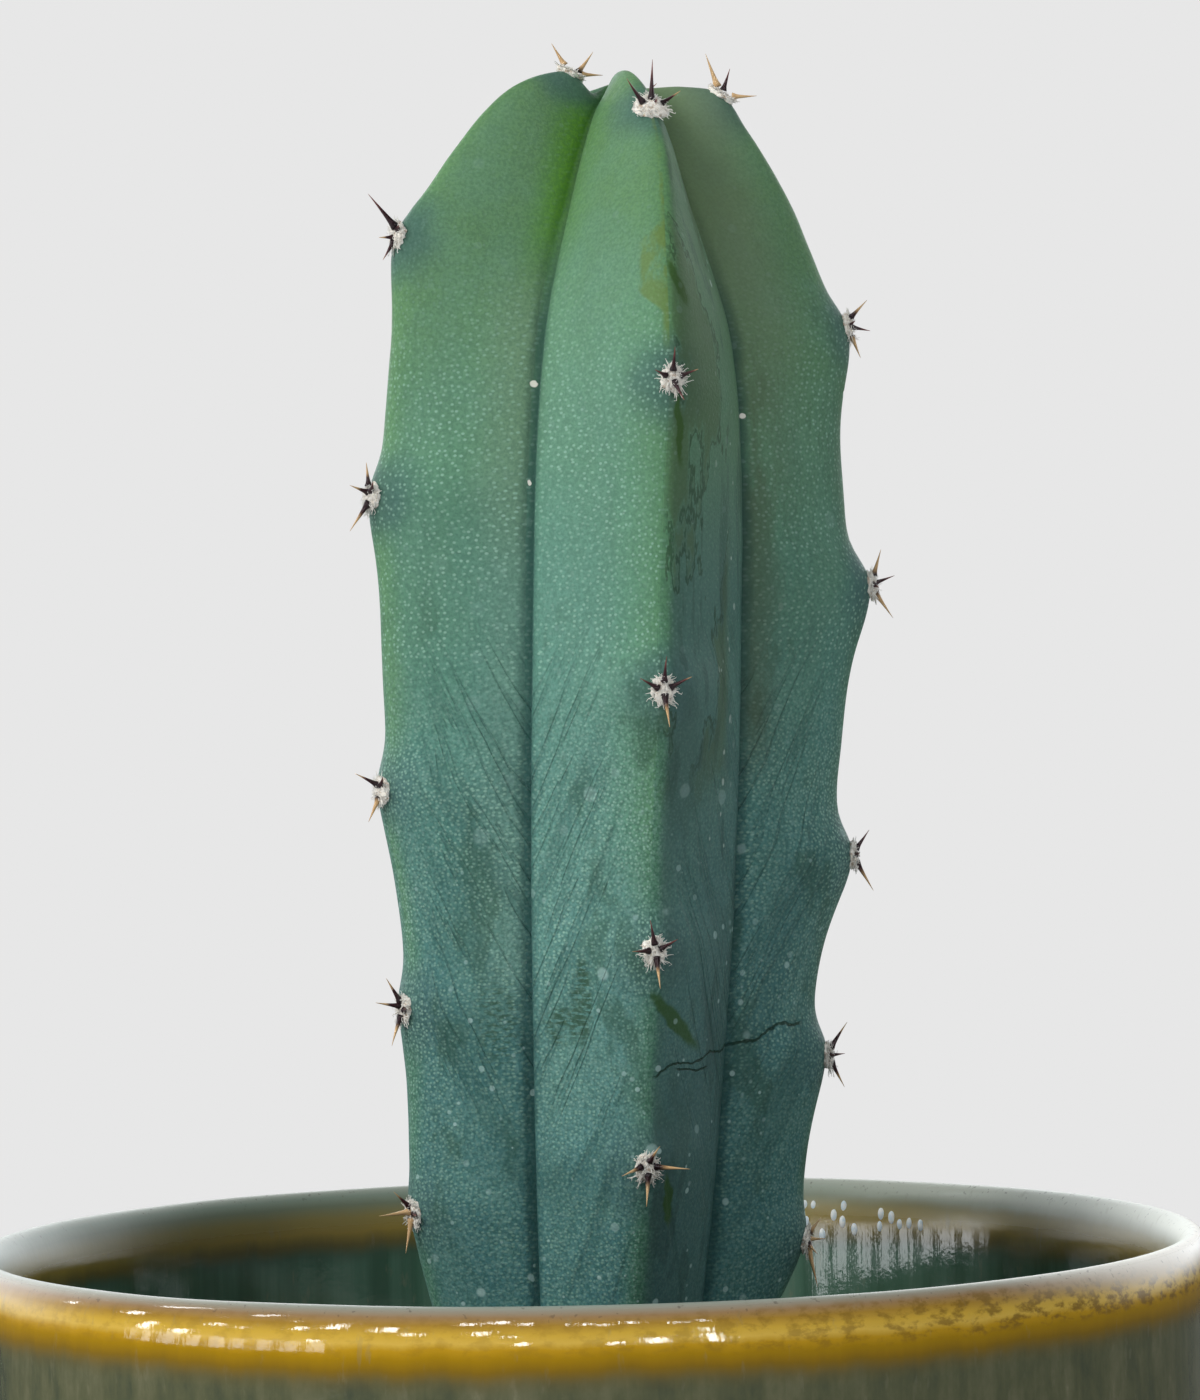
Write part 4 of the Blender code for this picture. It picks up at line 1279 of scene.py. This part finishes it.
def build_world():
    """Even grey behind, soft light all round, and for reflections a dim room with small windows."""
    world = bpy.data.worlds.new("studio")
    bpy.context.scene.world = world
    world.use_nodes = True
    g = Graph(world.node_tree)
    g.tree.nodes.clear()
    x, y, z = g.split(g.node("ShaderNodeTexCoord").outputs["Generated"])
    path = g.node("ShaderNodeLightPath")

    turn = g.math("ARCTAN2", x, g.sub(0.0, y))
    rise = g.math("ARCSINE", z)
    cells = g.node("ShaderNodeTexVoronoi", voronoi_dimensions="2D", distance="CHEBYCHEV")
    g.feed(cells.inputs["Vector"], g.join(g.mul(turn, 9.5), g.mul(rise, 3.4), 0.0))
    g.feed(cells.inputs["Scale"], 1.0)
    chosen = g.split(cells.outputs["Color"])
    pane = g.math("LESS_THAN", cells.outputs["Distance"], g.mul(chosen[1], 0.30))
    pane = g.mul(pane, g.math("GREATER_THAN", chosen[0], 0.52))
    pane = g.mul(pane, g.band(turn, -2.0, 0.45, 0.05), g.band(rise, 0.22, 0.86, 0.05))
    window = g.mul(g.band(turn, -1.55, -0.85, 0.03), g.band(rise, 0.03, 0.17, 0.02))
    bars = g.fade(g.math("SINE", g.mul(turn, 71.0)), -0.5, -0.1)
    behind = g.mul(g.fade(y, 0.10, 0.70), g.fade(rise, -0.05, 0.18), g.fade(rise, 1.10, 0.40))
    room = g.add(g.mul(behind, 2.2), 0.10, g.mul(pane, 22.0), g.mul(window, bars, 5.0))

    def glow(colour, strength):
        made = g.node("ShaderNodeBackground")
        g.feed(made.inputs[0], (*colour, 1.0))
        g.feed(made.inputs[1], strength)
        return made.outputs[0]

    def choose(share, a, b):
        made = g.node("ShaderNodeMixShader")
        g.feed(made.inputs[0], share)
        g.feed(made.inputs[1], a)
        g.feed(made.inputs[2], b)
        return made.outputs[0]

    soft = glow((0.93, 0.97, 1.0), 0.40)
    reflected = choose(path.outputs["Is Glossy Ray"], soft, glow((0.95, 0.98, 1.0), room))
    seen = choose(path.outputs["Is Camera Ray"], reflected, glow((0.799, 0.799, 0.799), 1.0))
    g.feed(g.node("ShaderNodeOutputWorld").inputs[0], seen)


def build_camera():
    """The view of the photograph: just above the rim, level, and leaning a little."""
    data = bpy.data.cameras.new("camera")
    data.sensor_width = 36.0
    data.lens = CAMERA_LENS
    data.clip_start = 0.05
    camera = bpy.data.objects.new("camera", data)
    bpy.context.scene.collection.objects.link(camera)
    place = Matrix.Translation((0, -CAMERA_BACK, POT_HEIGHT + CAMERA_ABOVE_RIM))
    turn = Matrix.Rotation(math.radians(CAMERA_TURN), 4, "Z")
    tilt = Matrix.Rotation(math.radians(CAMERA_TILT), 4, "X")
    roll = Matrix.Rotation(math.radians(CAMERA_ROLL), 4, "Z")
    camera.matrix_world = place @ turn @ tilt @ roll
    bpy.context.scene.camera = camera


# Each kind of grain: how many, smallest and largest in millimetres, shape, raggedness, how high it sits,
# its dark and light colours, roughness and the scale of its grain.
Grain = collections.namedtuple("Grain", "count sizes shape ragged sits dark light rough scale")
BROWNS = (0.018, 0.012, 0.008), (0.075, 0.048, 0.030)
BARKS = (0.060, 0.030, 0.015), (0.160, 0.090, 0.048)
GREYS = (0.420, 0.400, 0.370), (0.740, 0.730, 0.700)
GRAINS = {
    "crumbs": Grain(1500, (0.5, 1.9), (1.0, 0.85, 0.7), 0.45, 0.25, *BROWNS, 0.88, 1400),
    "bark": Grain(120, (1.4, 3.6), (1.0, 0.55, 0.22), 0.35, 0.60, *BARKS, 0.80, 700),
    "grit": Grain(260, (0.7, 1.9), (1.0, 0.9, 0.8), 0.30, 0.35, *GREYS, 0.85, 1100),
}
MIX = (0.022, 0.015, 0.010)


def lay_mix(draw):
    bed = crumb_material("mix_bed", MIX, MIX, 0.90, 900)
    new_piece("soil_bed", build_soil(), bed, ["soil"])
    for kind, grain in GRAINS.items():
        grains = scatter(f"soil_{kind}", grain, draw)
        look = crumb_material(f"mix_{kind}", grain.dark, grain.light, grain.rough, grain.scale)
        new_piece(f"soil_{kind}", grains, look)


def grow_areoles(draw):
    felt = wool_material()
    horn = spine_material()
    for rib, parts in RIBS.items():
        for number, place in enumerate(parts.areoles, 1):
            key = f"{rib}_{number}"
            name = f"areole_{key}"
            frame4 = areole_frame(rib, place)
            wool = wool_mesh(name, frame4, WOOL_SIZES.get(key, (1.0, 1.0, 1.0)), draw)
            new_piece(f"{name}_wool", wool, felt, [name])
            spines = spines_mesh(f"{name}_spines", frame4, SPINES.get(key, USUAL_SPINES), draw)
            new_piece(f"{name}_spines", spines, horn)


def main():
    build_camera()
    build_stage()
    build_world()
    for name, light in LIGHTS.items():
        area_light(name, *light)
    bpy.context.scene.view_settings.view_transform = "Standard"
    draw = random.Random(17)
    new_piece("stem_skin", build_stem(), skin_material(), ["stem"])
    new_piece("pot_glazed", build_pot(), glaze_material(), ["pot"])
    new_piece("painted_highlight_beads", highlight_beads_mesh(draw), highlight_bead_material())
    lay_mix(draw)
    grow_areoles(draw)


main()
